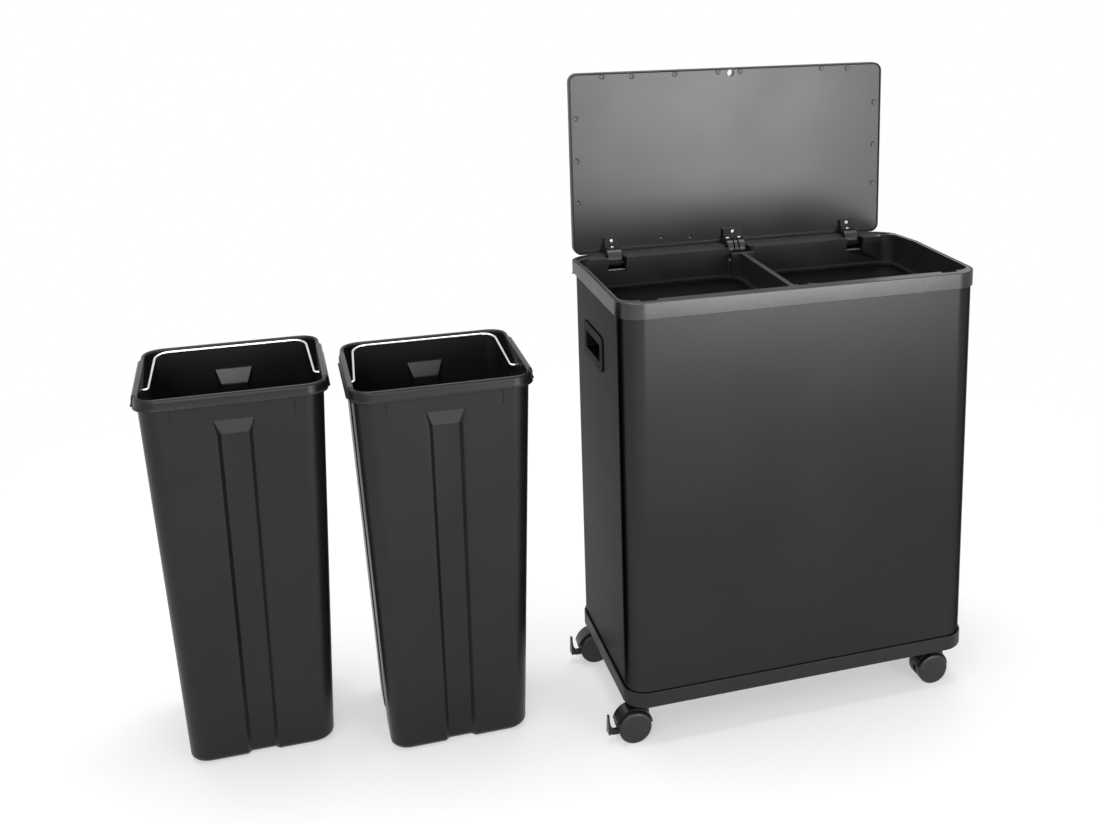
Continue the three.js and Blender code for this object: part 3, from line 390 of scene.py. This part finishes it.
def at_height(ring, z):
    return [(x, y, z(x, y) if callable(z) else z) for x, y in ring]


# ------------------------------------------------------------------ mesh helpers
def from_bmesh(name, bm):
    bmesh.ops.recalc_face_normals(bm, faces=bm.faces)
    mesh = bpy.data.meshes.new(name)
    bm.to_mesh(mesh)
    bm.free()
    obj = bpy.data.objects.new(name, mesh)
    bpy.context.scene.collection.objects.link(obj)
    return obj


def loft(bm, rings, ends):
    """Skins rings of equal length. ends is "open", "capped", or "joined" last to first."""
    made = [[bm.verts.new([c * MM for c in point]) for point in ring] for ring in rings]
    pairs = list(zip(made, made[1:]))
    if ends == "joined":
        pairs.append((made[-1], made[0]))
    for low, high in pairs:
        for at in range(len(low)):
            after = (at + 1) % len(low)
            bm.faces.new((low[at], low[after], high[after], high[at]))
    if ends == "capped":
        bm.faces.new(made[0][::-1])
        bm.faces.new(made[-1])


def block(bm, x0, x1, y0, y1, z0, z1):
    loft(bm, [[(x0, y0, z), (x1, y0, z), (x1, y1, z), (x0, y1, z)] for z in (z0, z1)], "capped")


def lathe(bm, profile, centre, axis, segments):
    """Turns (radius, along) points about an axis through a point; ends of radius 0 close it."""
    axis = Vector(axis)
    side = axis.orthogonal().normalized()
    other = axis.cross(side)
    rings = []
    for radius, along in profile:
        spot = Vector(centre) + axis * along
        if radius == 0:
            rings.append([bm.verts.new(spot * MM)])
            continue
        ring = []
        for step in range(segments):
            turn = 2 * math.pi * step / segments
            reach = (side * math.cos(turn) + other * math.sin(turn)) * radius
            ring.append(bm.verts.new((spot + reach) * MM))
        rings.append(ring)
    for low, high in zip(rings, rings[1:]):
        for at in range(segments):
            after = (at + 1) % segments
            if len(low) == 1:
                bm.faces.new((low[0], high[after], high[at]))
            elif len(high) == 1:
                bm.faces.new((low[at], low[after], high[0]))
            else:
                bm.faces.new((low[at], low[after], high[after], high[at]))


def cut(obj, *cutters):
    """Takes the cutters' shapes out of the mesh and throws the cutters away."""
    for cutter in cutters:
        tool = obj.modifiers.new("cut", "BOOLEAN")
        tool.operation = "DIFFERENCE"
        tool.solver = "EXACT"
        tool.object = cutter
    bpy.context.view_layer.update()
    seen = obj.evaluated_get(bpy.context.evaluated_depsgraph_get())
    mesh = bpy.data.meshes.new_from_object(seen)
    obj.modifiers.clear()
    old = obj.data
    obj.data = mesh
    bpy.data.meshes.remove(old)
    for cutter in cutters:
        bpy.data.objects.remove(cutter)
    return obj


# ------------------------------------------------------------------ cabinet
def grip_cutter(side):
    """The hole for a side grip, through the shell's left (-1) or right (1) wall."""
    half_y = GRIP_LENGTH / 2 + GRIP_HOLE_GROW
    half_z = GRIP_HEIGHT / 2 + GRIP_HOLE_GROW
    ring = rounded_outline(half_y, -half_z, half_z, GRIP_HOLE_CORNER, GRIP_HOLE_CORNER, 6)
    x = CABINET[0] + side * HALF_X
    y = CABINET[1] + GRIP_Y
    bm = bmesh.new()
    loft(bm, [[(x + reach, y + a, GRIP_Z + b) for a, b in ring] for reach in (-5, 5)], "capped")
    return from_bmesh(f"cut_grip_{side}", bm)


def make_shell():
    low, high = TRAY_FLOOR + JOIN, TOP - 10
    outer, inner = plan(), plan(-SHELL_WALL)
    bm = bmesh.new()
    levels = ((outer, low), (outer, high), (inner, high), (inner, low))
    loft(bm, [at_height(ring, z) for ring, z in levels], "joined")
    shell = from_bmesh("cabinet_shell", bm)

    # The rear wall stops below the overhang.
    x, y = CABINET
    flat = HALF_X - CORNER
    bm = bmesh.new()
    block(bm, x - flat, x + flat, y + 100, y + HALF_Y + CUT_OVER, OVERHANG_LOW, high + CUT_OVER)
    cut(shell, from_bmesh("cut_rear", bm), grip_cutter(-1), grip_cutter(1))
    soften(shell)
    dress(shell, SHELL, "cabinet", ["steel_shell"])

    def faces_in(face):
        out_x, out_y = face.center.x - x * MM, face.center.y - y * MM
        if abs(out_x) > abs(out_y) * HALF_X / HALF_Y:
            return int(face.normal.x * out_x < 0)
        return int(face.normal.y * out_y < 0)

    repaint(shell, [SHELL_INSIDE], faces_in)


def top_at(x, y):
    """The collar's top, which slopes down over its rear part."""
    back = y - CABINET[1] - (OVERHANG_Y - SLOPE)
    return TOP - max(0.0, back) * SLOPE_DROP / SLOPE


def overhang_low(x, y):
    """The overhang's underside, which rises to the rear."""
    back = y - CABINET[1] - HALF_Y
    return between(OVERHANG_LOW, COLLAR_LOW, back / (OVERHANG_Y - HALF_Y))


def band_low(x, y):
    """The collar's lower edge, which steps down where the overhang starts."""
    if y - CABINET[1] - HALF_Y <= 0.5:
        return COLLAR_LOW
    return min(COLLAR_LOW, overhang_low(x, y))


def collar_ring(inward):
    """The collar's outline, with a point more on each side, where its top starts to slope."""
    ring = plan(BAND_OUT - inward, OVERHANG_Y - inward, OVERHANG_CORNER - inward, COLLAR_STEPS)
    x, y = CABINET[0], CABINET[1] + OVERHANG_Y - SLOPE
    side = HALF_X + BAND_OUT - inward
    per_corner = COLLAR_STEPS + 1
    ring.insert(3 * per_corner, (x - side, y))
    ring.insert(per_corner, (x + side, y))
    return ring


def make_collar():
    def low(inward, rise=0.0):
        return at_height(collar_ring(inward), lambda x, y: band_low(x, y) + rise)

    def high(inward, drop=0.0):
        return at_height(collar_ring(inward), lambda x, y: top_at(x, y) - drop)

    rings = [low(BAND_WALL), low(0.5), low(0.0, 0.5)]
    for share in (0.0, 0.35, 0.7, 1.0):
        turn = share * math.pi / 2
        rings.append(high(COLLAR_LIP * (1 - math.cos(turn)), COLLAR_LIP * (1 - math.sin(turn))))
    rings += [high(BAND_WALL - 0.3), high(BAND_WALL, 0.3)]
    bm = bmesh.new()
    loft(bm, rings, "joined")

    # The slanted sheet under the overhang
    x, rear = CABINET[0], CABINET[1] + HALF_Y
    edge = plan(JOIN, OVERHANG_Y - BAND_WALL, OVERHANG_CORNER - BAND_WALL, COLLAR_STEPS)
    edge = [spot for spot in edge if spot[1] > rear + 4]
    edge.sort(key=lambda spot: math.atan2(spot[1] - rear, spot[0] - x))
    side = HALF_X + JOIN
    outline = [(x + side, rear + JOIN), *edge, (x - side, rear + JOIN)]
    loft(bm, [
        at_height(outline, overhang_low),
        at_height(outline, lambda x, y: overhang_low(x, y) + OVERHANG_SHEET),
    ], "capped")
    collar = from_bmesh("top_collar_band", bm)
    soften(collar)
    dress(collar, COLLAR, "cabinet", ["top_collar"])


def make_base():
    # The wall, as (inward, height): up its inside, over the top edge and down to the foot.
    wall = (
        (BAND_WALL, TRAY_FLOOR), (BAND_WALL, BASE_TOP - 0.5), (BAND_WALL - 0.5, BASE_TOP),
        (1.0, BASE_TOP), (0.3, BASE_TOP - 0.3), (0.0, BASE_TOP - 1.0), (0.0, BASE_LOW + 2.2),
        (0.5, BASE_LOW + 0.8), (1.3, BASE_LOW), (BAND_WALL, BASE_LOW), (BAND_WALL, TRAY_FLOOR - 3),
    )
    bm = bmesh.new()
    loft(bm, [at_height(plan(BAND_OUT - inward), z) for inward, z in wall], "capped")

    x, y = CABINET
    side, end = HALF_X + 0.2, HALF_Y + 0.2
    rib_low, rib_high = BASE_LOW + 0.3, TRAY_FLOOR - TRAY_SHEET
    across, along = TRAY_RIBS
    for rib in range(1, across + 1):
        at = x - HALF_X + rib * 2 * HALF_X / (across + 1)
        block(bm, at - TRAY_RIB_HALF, at + TRAY_RIB_HALF, y - end, y + end, rib_low, rib_high)
    for rib in range(1, along + 1):
        at = y - HALF_Y + rib * 2 * HALF_Y / (along + 1)
        block(bm, x - side, x + side, at - TRAY_RIB_HALF, at + TRAY_RIB_HALF, rib_low, rib_high)

    # The sockets that the stems go into
    socket = [(5.3, 14), (5.3, 0.8), (5.8, 0.3), (14.2, 0.3), (15, 1.1), (15, rib_high - BASE_LOW)]
    for sx in (-1, 1):
        for sy in (-1, 1):
            foot = (x + sx * CASTER_X, y + sy * CASTER_Y, BASE_LOW)
            lathe(bm, socket, foot, (0, 0, 1), 40)
    base = from_bmesh("base_tray_moulding", bm)
    soften(base)
    dress(base, BASE, "cabinet", ["base_tray"])


# ------------------------------------------------------------------ buckets
def bucket_ring(width, depth, radius, z, channel, deep, ear=0.0):
    """One ring of the bucket: rounded corners, a channel in each face, an ear on two sides."""
    half_x, half_y = width / 2, depth / 2
    half = channel / 2
    flank = max(2.4, 0.85 * deep)
    # The channel as (along, inward): its left half, its middle and its right half.
    left = [
        (-half - 6, 0), (-half, 0), (-half + 0.7, deep * 0.12),
        (-half + flank - 0.7, deep * 0.88), (-half + flank, deep),
    ]
    groove = left + [(0, deep)] + [(-along, inward) for along, inward in reversed(left)]

    # A side's face, with the ear's ends on both sides of the channel
    reach = half_y - radius - 5
    start, end = max(RIM_EAR_SPAN[0], -reach), min(RIM_EAR_SPAN[1], reach)
    ramp = [(0.0, 1.0), (1.1, 0.75), (2.4, 0.25), (3.5, 0.0)]
    flanked = [(start - away, -ear * share) for away, share in reversed(ramp)]
    flanked += [(along, inward - ear) for along, inward in groove]
    flanked += [(end + away, -ear * share) for away, share in ramp]

    x, y = half_x - radius, half_y - radius
    ring = [(along, inward - half_y) for along, inward in groove]
    ring += arc(x, -y, radius, -90, 12)
    ring += [(half_x - inward, along) for along, inward in flanked]
    ring += arc(x, y, radius, 0, 12)
    ring += [(-along, half_y - inward) for along, inward in groove]
    ring += arc(-x, y, radius, 90, 12)
    ring += [(inward - half_x, along) for along, inward in reversed(flanked)]
    ring += arc(-x, -y, radius, 180, 12)
    return at_height(ring, z)


def bucket_body(z, inward, at=None, shrink=0.0):
    """The wall's ring for height z, drawn at another height or drawn in where the foot rounds."""
    share = z / BUCKET_HEIGHT
    width = between(BUCKET_FOOT, BUCKET_UPPER[0], share) - 2 * inward - 2 * shrink
    depth = between(BUCKET_FOOT, BUCKET_UPPER[1], share) - 2 * inward - 2 * shrink
    corner = between(*BUCKET_CORNERS, share) - inward - shrink / 2
    grown = (BUCKET_HEIGHT - z - CHANNEL_END) / CHANNEL_SLOPE
    grown = max(0.0, min(1.0, grown))
    channel = between(*CHANNEL_WIDTHS, share) + CHANNEL_FLARE * (1 - grown)
    return bucket_ring(
        width, depth, corner, z if at is None else at, channel, CHANNEL_DEPTH * grown,
    )


def bucket_rings():
    """From the foot up the outside, round the rim, and down the inside to the floor."""
    rings = [
        bucket_body(0, 0, 0, 12), bucket_body(0, 0, 0.9, 7.5), bucket_body(0, 0, 3.6, 3.6),
        bucket_body(8, 0, 7.6, 0.9), bucket_body(12, 0),
    ]
    rings += [bucket_body(z, 0) for z in (*BUCKET_LEVELS, 593.2, 594.5)]
    for inward, z in (
        (5.0, 594.5), (4.2, 593.6), (4.2, 580), (3.4, 579.1), (0.9, 579), (0.2, 579.5), (0, 580.4),
        (0.1, 581.4), (0.8, 582.1), (1.7, 582.9), (2.0, 590.6), (2.4, 593.4), (3.4, 595.6),
        (4.8, 596.8), (6.2, 597),
    ):
        rings.append(bucket_ring(
            RIM[0] - 2 * inward, RIM[1] - 2 * inward, RIM_CORNER - inward, z,
            CHANNEL_WIDTHS[1], 0.0, RIM_EAR,
        ))
    rings += [
        bucket_body(597, -0.6, 597), bucket_body(597, 0.9, 596.7), bucket_body(596, 2.0, 595.6),
    ]
    rings += [bucket_body(z, BUCKET_WALL) for z in (593.5, *reversed(BUCKET_LEVELS), 14)]
    rings += [
        bucket_body(4, BUCKET_WALL, 5.6, 2.5), bucket_body(2.5, BUCKET_WALL, 3.1, 7),
        bucket_body(2.5, BUCKET_WALL, 2.5, 12),
    ]
    return rings


def make_bucket(name, spot):
    bm = bmesh.new()
    loft(bm, [[(x + spot[0], y + spot[1], z) for x, y, z in r] for r in bucket_rings()], "capped")
    near, far = RIM_RIB_Y
    for x in (spot[0] - RIM_RIB_X, spot[0] + RIM_RIB_X):
        for y0, y1 in ((-far, -near), (near, far)):
            block(
                bm, x - RIM_RIB_HALF, x + RIM_RIB_HALF, spot[1] + y0, spot[1] + y1, *RIM_RIB_Z,
            )
    bucket = from_bmesh(f"bucket_{name}_moulding", bm)
    hole = bmesh.new()
    through = [(0, -150), (BAIL_HOLE, -150), (BAIL_HOLE, 150), (0, 150)]
    lathe(hole, through, (*spot, BAIL_Z), (1, 0, 0), 20)
    cut(bucket, from_bmesh("cut_bail", hole))
    soften(bucket)
    dress(bucket, BUCKET, f"bucket_{name}", [f"bucket_{name}"])

    # The sloping facets where the channels run out get the lighter grey of painted light
    def on_facet(face):
        x, y, z = face.center / MM
        middle = min(abs(x - spot[0]), abs(y - spot[1]))
        return int(middle < FACET_REACH and FACET_LEVELS[0] < z < FACET_LEVELS[1])

    repaint(bucket, [BUCKET_FACET_PAINTED_LIGHT], on_facet)


def make_bail(name, spot):
    """The wire: hooked ends in the walls, legs and a bar along the rear rim."""
    wall = between(BUCKET_FOOT, BUCKET_UPPER[0], BAIL_Z / BUCKET_HEIGHT) / 2
    back = between(BUCKET_FOOT, BUCKET_UPPER[1], (BAIL_Z + BAIL_RISE) / BUCKET_HEIGHT) / 2
    back -= BUCKET_WALL + 8
    leg = wall - BUCKET_WALL - BAIL_GAP
    # The right half as (out, back), from its end in the wall to the bar
    half = [(wall + 1.5, 0.0), (leg + BAIL_HOOK, 0.0)]
    for turn in (0.5, 1.0):
        half.append((
            leg + BAIL_HOOK * (1 - math.sin(turn)), BAIL_HOOK * (1 - math.cos(turn)),
        ))
    for share in (0.0, 0.25, 0.5, 0.75):
        half.append((
            leg - BAIL_LEAN * share, between(BAIL_HOOK, back - BAIL_CORNER, share),
        ))
    half += arc(leg - BAIL_LEAN - BAIL_CORNER, back - BAIL_CORNER, BAIL_CORNER, 0, 8)
    points = [(-x, y) for x, y in half] + [(x, y) for x, y in reversed(half)]

    line = bpy.data.curves.new(f"bail_{name}_wire", "CURVE")
    line.dimensions = "3D"
    line.bevel_depth = BAIL_RADIUS * MM
    line.bevel_resolution = 5
    line.use_fill_caps = True
    spline = line.splines.new("POLY")
    spline.points.add(len(points) - 1)
    for place, (x, y) in zip(spline.points, points):
        z = BAIL_Z + y * BAIL_RISE / back
        place.co = ((spot[0] + x) * MM, (spot[1] + y) * MM, z * MM, 1)
    spline.use_smooth = True
    wire = bpy.data.objects.new(f"bail_{name}_wire", line)
    bpy.context.scene.collection.objects.link(wire)
    dress(wire, BRIGHT, f"bail_{name}", [f"bail_{name}"])


# ------------------------------------------------------------------ lid
def lid_loft(bm, profile):
    """The open lid's outline, drawn in X and Z for each (inset, y) of the profile."""
    rings = []
    for inset, y in profile:
        corner = LID_CORNER - inset
        ring = rounded_outline(
            LID_HALF - inset, LID_LOW + inset, LID_HIGH - inset, corner, corner, 8,
        )
        rings.append([(CABINET[0] + x, y, z) for x, z in ring])
    loft(bm, rings, "capped")


def finger_cutter():
    bm = bmesh.new()
    through = [(0, -4), (FINGER_HOLE, -4), (FINGER_HOLE, 20), (0, 20)]
    lathe(bm, through, (CABINET[0], LID_FACE, FINGER_Z), (0, 1, 0), 48)
    return from_bmesh("cut_finger", bm)


def make_panel():
    face, back = LID_FACE, LID_FACE + LID_THICK
    bm = bmesh.new()
    lid_loft(bm, (
        (1.6, back), (0.6, back - 0.3), (0.0, back - 1.2), (0.0, face + 0.7), (0.25, face + 0.2),
        (0.7, face), (1.4, face), (1.85, face + 0.25), (2.0, face + 0.8), (2.0, back - 2),
    ))
    panel = cut(from_bmesh("lid_panel_moulding", bm), finger_cutter())
    soften(panel)
    dress(panel, LID_OUTER, "lid", ["lid_panel"])


def make_liner():
    sheet = LID_FACE + LINER_BACK
    x = CABINET[0]
    bm = bmesh.new()
    lid_loft(bm, ((2.3, sheet + 2.5), (2.3, sheet + 0.5), (2.6, sheet + 0.1), (3.0, sheet)))
    groove = bmesh.new()
    block(
        groove, x - LINER_GROOVE_HALF, x + LINER_GROOVE_HALF, sheet - 1,
        sheet + LINER_GROOVE_DEPTH, LID_LOW + LINER_GROOVE[0], LID_LOW + LINER_GROOVE[1],
    )
    liner = cut(
        from_bmesh("lid_liner_sheet", bm), finger_cutter(), from_bmesh("cut_groove", groove),
    )

    # The marks, and a sleeve through the finger hole
    bm = bmesh.new()
    bm.from_mesh(liner.data)
    mark = [(0, 0), (3.0, 0), (3.4, -0.25), (4.0, -0.25), (4.6, 0.1), (4.6, 0.6), (0, 0.6)]
    for across, z in LINER_MARKS:
        lathe(bm, mark, (x + across, sheet - 0.05, z), (0, 1, 0), 28)
    sleeve = [
        (FINGER_HOLE, 0.3), (FINGER_HOLE + 1, 0), (FINGER_HOLE + 1.3, 0.3),
        (FINGER_HOLE + 1.3, 9.9), (FINGER_HOLE, 9.9), (FINGER_HOLE, 0.3),
    ]
    lathe(bm, sleeve, (x, sheet, FINGER_Z), (0, 1, 0), 48)
    bmesh.ops.remove_doubles(bm, verts=bm.verts, dist=0.000001)
    bm.to_mesh(liner.data)
    bm.free()
    soften(liner)
    dress(liner, LID_LINER, "lid", ["lid_liner"])


def make_screws():
    for node in [n for n in NODES if n.startswith("lid_screw_")]:
        lo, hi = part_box(node)
        x, z = (lo.x + hi.x) / 2 / MM, (lo.z + hi.z) / 2 / MM
        face, length = lo.y / MM, (hi.y - lo.y) / MM
        profile = [
            (0, 0.5), (0.7, 0.45), (2.0, 0.1), (2.9, 0.45), (3.2, 1.2), (3.2, 2.0),
            (1.6, 2.0), (1.6, length - 0.4), (1.2, length), (0, length),
        ]
        bm = bmesh.new()
        lathe(bm, profile, (x, face, z), (0, 1, 0), 24)
        screw = from_bmesh(f"{node}_head", bm)
        slots = []
        for half_x, half_z in ((1.7, 0.35), (0.35, 1.7)):
            bm = bmesh.new()
            block(bm, x - half_x, x + half_x, face - 1, face + 1.1, z - half_z, z + half_z)
            slots.append(from_bmesh("cut_cross", bm))
        cut(screw, *slots)
        soften(screw)
        dress(screw, SCREW, "lid", [node])


# ------------------------------------------------------------------ casters
def make_wheels():
    # Half the section as (radius, out from the caster's middle): cap, tread and hollow back
    profile = [
        (0, 21.1), (15.5, 21.1), (16.2, 20.8), (17.0, 20.8), (17.6, 21.1), (21.4, 21.1),
        (22.4, 20.95), (24.6, 20.2), (25.6, 19.3), (WHEEL_RADIUS, 18.1), (WHEEL_RADIUS, 5.4),
        (25.6, 4.8), (24.8, 4.6), (22.5, 4.6), (22.5, 17.6), (7, 17.6), (7, 4.9), (3.3, 4.9),
        (3.3, 18.1), (0, 18.1),
    ]
    for fore, sy in (("front", -1), ("rear", 1)):
        for hand, sx in (("left", -1), ("right", 1)):
            x = CABINET[0] + sx * CASTER_X - TRAIL
            y = CABINET[1] + sy * CASTER_Y
            for place, side in (("outer", -1), ("inner", 1)):
                name = f"caster_{fore}_{hand}_wheel_{place}"
                bm = bmesh.new()
                lathe(bm, profile, (x, y, WHEEL_RADIUS), (0, side, 0), 64)
                wheel = from_bmesh(f"{name}_tyre", bm)
                soften(wheel)
                dress(wheel, WHEEL, name, [name])


# ------------------------------------------------------------------ nodes that keep their shape
LOOKS = (  # start of the node's name, material, slot, width of the rounded edges
    ("inner_frame", FRAME, "frame_plastic", 0.8),
    ("side_grip_", GRIP, "grip_steel", 0.5),
    ("hinge_leaf_", HINGE, "hinge_plastic", 0.5),
    ("hinge_spring_leaf", HINGE, "hinge_plastic", 0.3),
    ("hinge_pin_", PIN, "bright_steel", 0.2),
    ("caster_", CASTER, "caster_plastic", 0.5),
)


def frame_face(face):
    """Which of the inner frame's materials a face has: its own, the lighter one that paints light
    on its upper faces, or the darker one that paints shade in the hinge pockets.
    """
    x, y, z = face.center / MM
    beside_hinge = abs(abs(x - CABINET[0]) - HINGE_X) < POCKET_HALF
    if beside_hinge and y - CABINET[1] > POCKET_FRONT and z < POCKET_TOP:
        return 2
    return int(face.normal.z > 0.8 and z > PAINTED_LIGHT_LEVEL)


def dress_nodes():
    for node, obj in NODES.items():
        if obj.hide_render:
            continue
        if node.endswith(("_stem", "_axle")):
            soften(obj, 0.3)
            dress(obj, BRIGHT)
            continue
        if node.startswith("hinge_leaf_"):
            round_off(obj)
        mat, slot, width = next(look[1:] for look in LOOKS if node.startswith(look[0]))
        soften(obj, width)
        dress(obj, mat)
    # Painted light on the frame's upper faces, and painted shade in its hinge pockets
    repaint(NODES["inner_frame"], [FRAME_PAINTED_LIGHT, FRAME_PAINTED_SHADE], frame_face)


# ------------------------------------------------------------------ studio, in metres
WORLD_GREY = 0.45
FLOOR_GREY = 0.9
FLOOR_SIDE = 8.0
FLOOR_FRONT, FLOOR_REAR = -7.0, 2.2
SWEEP = 1.5  # radius of the curve between floor and backdrop
BACKDROP_TOP = 7.0
WHITE_NEAR = 0.45  # how white the floor is under the object, where it also shows the shadow
WHITE_SPAN = (0.6, 1.9)  # from the object's middle; beyond it the floor is plain white
MIRRORED_SPAN = (-1.4, -0.9)  # in Y; in front of it a reflection sees the lit floor only
LAMPS = (  # name, place, what it points at, size, watts
    ("key", (-1.8, -2.6, 2.9), (0.1, 0.0, 0.4), (2.2, 1.8), 35),
    ("top", (0.1, 0.4, 3.4), (0.1, 0.0, 0.3), (3.0, 2.0), 100),
    ("front", (1.38, -3.1, 0.66), (0.6, 0.0, 0.5), (1.3, 1.3), 56),
    ("fill", (-0.85, -3.4, 1.25), (-0.35, 0.0, 0.4), (1.3, 1.0), 24),
)


def math_node(nodes, links, operation, first, second):
    node = nodes.new("ShaderNodeMath")
    node.operation = operation
    links.new(first, node.inputs[0])
    links.new(second, node.inputs[1])
    return node.outputs["Value"]


def smooth_step(nodes, links, value, span, low=0.0):
    """Rises smoothly from low to 1 over a span."""
    step = nodes.new("ShaderNodeMapRange")
    step.interpolation_type = "SMOOTHSTEP"
    step.inputs["From Min"].default_value = span[0]
    step.inputs["From Max"].default_value = span[1]
    step.inputs["To Min"].default_value = low
    links.new(value, step.inputs["Value"])
    return step.outputs["Result"]


def ray_kinds(nodes, links):
    """1 for rays from the camera, and 1 for rays that were mirrored or went through."""
    path = nodes.new("ShaderNodeLightPath").outputs
    through = math_node(nodes, links, "MAXIMUM", path["Is Glossy Ray"], path["Is Transmission Ray"])
    return path["Is Camera Ray"], through


def mix_by(nodes, links, share, first, second, surface):
    mix = nodes.new("ShaderNodeMixShader")
    links.new(share, mix.inputs["Fac"])
    links.new(first, mix.inputs[1])
    links.new(second, mix.inputs[2])
    links.new(mix.outputs["Shader"], surface)


def floor_white():
    """Pale and lit near the object, plain white far from it."""
    mat = bpy.data.materials.new("studio_white")
    mat.use_nodes = True
    nodes, links = mat.node_tree.nodes, mat.node_tree.links
    nodes.clear()
    out = nodes.new("ShaderNodeOutputMaterial")
    lit = nodes.new("ShaderNodeBsdfDiffuse")
    lit.inputs["Color"].default_value = (FLOOR_GREY, FLOOR_GREY, FLOOR_GREY, 1)
    white = nodes.new("ShaderNodeEmission")
    white.inputs["Color"].default_value = (1, 1, 1, 1)
    white.inputs["Strength"].default_value = 1.0
    where = nodes.new("ShaderNodeTexCoord").outputs["Object"]
    away = nodes.new("ShaderNodeVectorMath")
    away.operation = "LENGTH"
    links.new(where, away.inputs[0])
    far = smooth_step(nodes, links, away.outputs["Value"], WHITE_SPAN, WHITE_NEAR)
    axes = nodes.new("ShaderNodeSeparateXYZ")
    links.new(where, axes.inputs["Vector"])
    behind = smooth_step(nodes, links, axes.outputs["Y"], MIRRORED_SPAN)
    camera, mirrored = ray_kinds(nodes, links)
    mirrored = math_node(nodes, links, "MULTIPLY", mirrored, behind)
    seen = math_node(nodes, links, "MAXIMUM", camera, mirrored)
    share = math_node(nodes, links, "MULTIPLY", seen, far)
    mix_by(
        nodes, links, share, lit.outputs["BSDF"], white.outputs["Emission"], out.inputs["Surface"],
    )
    return mat


def make_floor():
    """A floor that curves up behind the object to a backdrop."""
    profile = [(FLOOR_FRONT, 0.0), (FLOOR_REAR, 0.0)]
    profile += arc(FLOOR_REAR, SWEEP, SWEEP, -90, 16)[1:]
    profile += [(FLOOR_REAR + SWEEP, BACKDROP_TOP)]
    bm = bmesh.new()
    rows = [[bm.verts.new((x, y, z)) for x in (-FLOOR_SIDE, FLOOR_SIDE)] for y, z in profile]
    for low, high in zip(rows, rows[1:]):
        bm.faces.new((low[0], low[1], high[1], high[0]))
    floor = from_bmesh("studio_floor", bm)
    for face in floor.data.polygons:
        face.use_smooth = True
    floor.data.materials.append(floor_white())


def make_world():
    """A grey light all round, which the camera and reflections see as white."""
    world = bpy.data.worlds.new("studio")
    bpy.context.scene.world = world
    world.use_nodes = True
    nodes, links = world.node_tree.nodes, world.node_tree.links
    back = nodes["Background"]
    back.inputs["Color"].default_value = (WORLD_GREY, WORLD_GREY, WORLD_GREY, 1)
    back.inputs["Strength"].default_value = 1.0
    white = nodes.new("ShaderNodeBackground")
    white.inputs["Color"].default_value = (1, 1, 1, 1)
    white.inputs["Strength"].default_value = 1.0
    seen = math_node(nodes, links, "MAXIMUM", *ray_kinds(nodes, links))
    mix_by(
        nodes, links, seen, back.outputs["Background"], white.outputs["Background"],
        nodes["World Output"].inputs["Surface"],
    )


def make_lamps():
    for name, place, target, size, power in LAMPS:
        light = bpy.data.lights.new(name, "AREA")
        light.shape = "RECTANGLE"
        light.size, light.size_y = size
        light.energy = power
        obj = bpy.data.objects.new(name, light)
        obj.location = place
        aim = Vector(target) - Vector(place)
        obj.rotation_euler = aim.to_track_quat("-Z", "Y").to_euler()
        bpy.context.scene.collection.objects.link(obj)


def make_camera():
    """The photo's camera, worked out from the cabinet's straight edges."""
    data = bpy.data.cameras.new("camera")
    data.sensor_width = 36
    data.lens = 45.589
    data.shift_x = -0.18
    data.shift_y = -0.15
    data.clip_end = 60
    camera = bpy.data.objects.new("camera", data)
    camera.location = (-0.43681, -2.07821, 1.26108)
    camera.rotation_euler = (math.radians(76.576), 0, math.radians(-19.842))
    bpy.context.scene.collection.objects.link(camera)
    bpy.context.scene.camera = camera


bpy.context.scene.view_settings.view_transform = "Standard"
make_camera()
make_shell()
make_collar()
make_base()
for key, middle in BUCKETS.items():
    make_bucket(key, middle)
    make_bail(key, middle)
make_panel()
make_liner()
make_wheels()
make_screws()
dress_nodes()
make_floor()
make_world()
make_lamps()
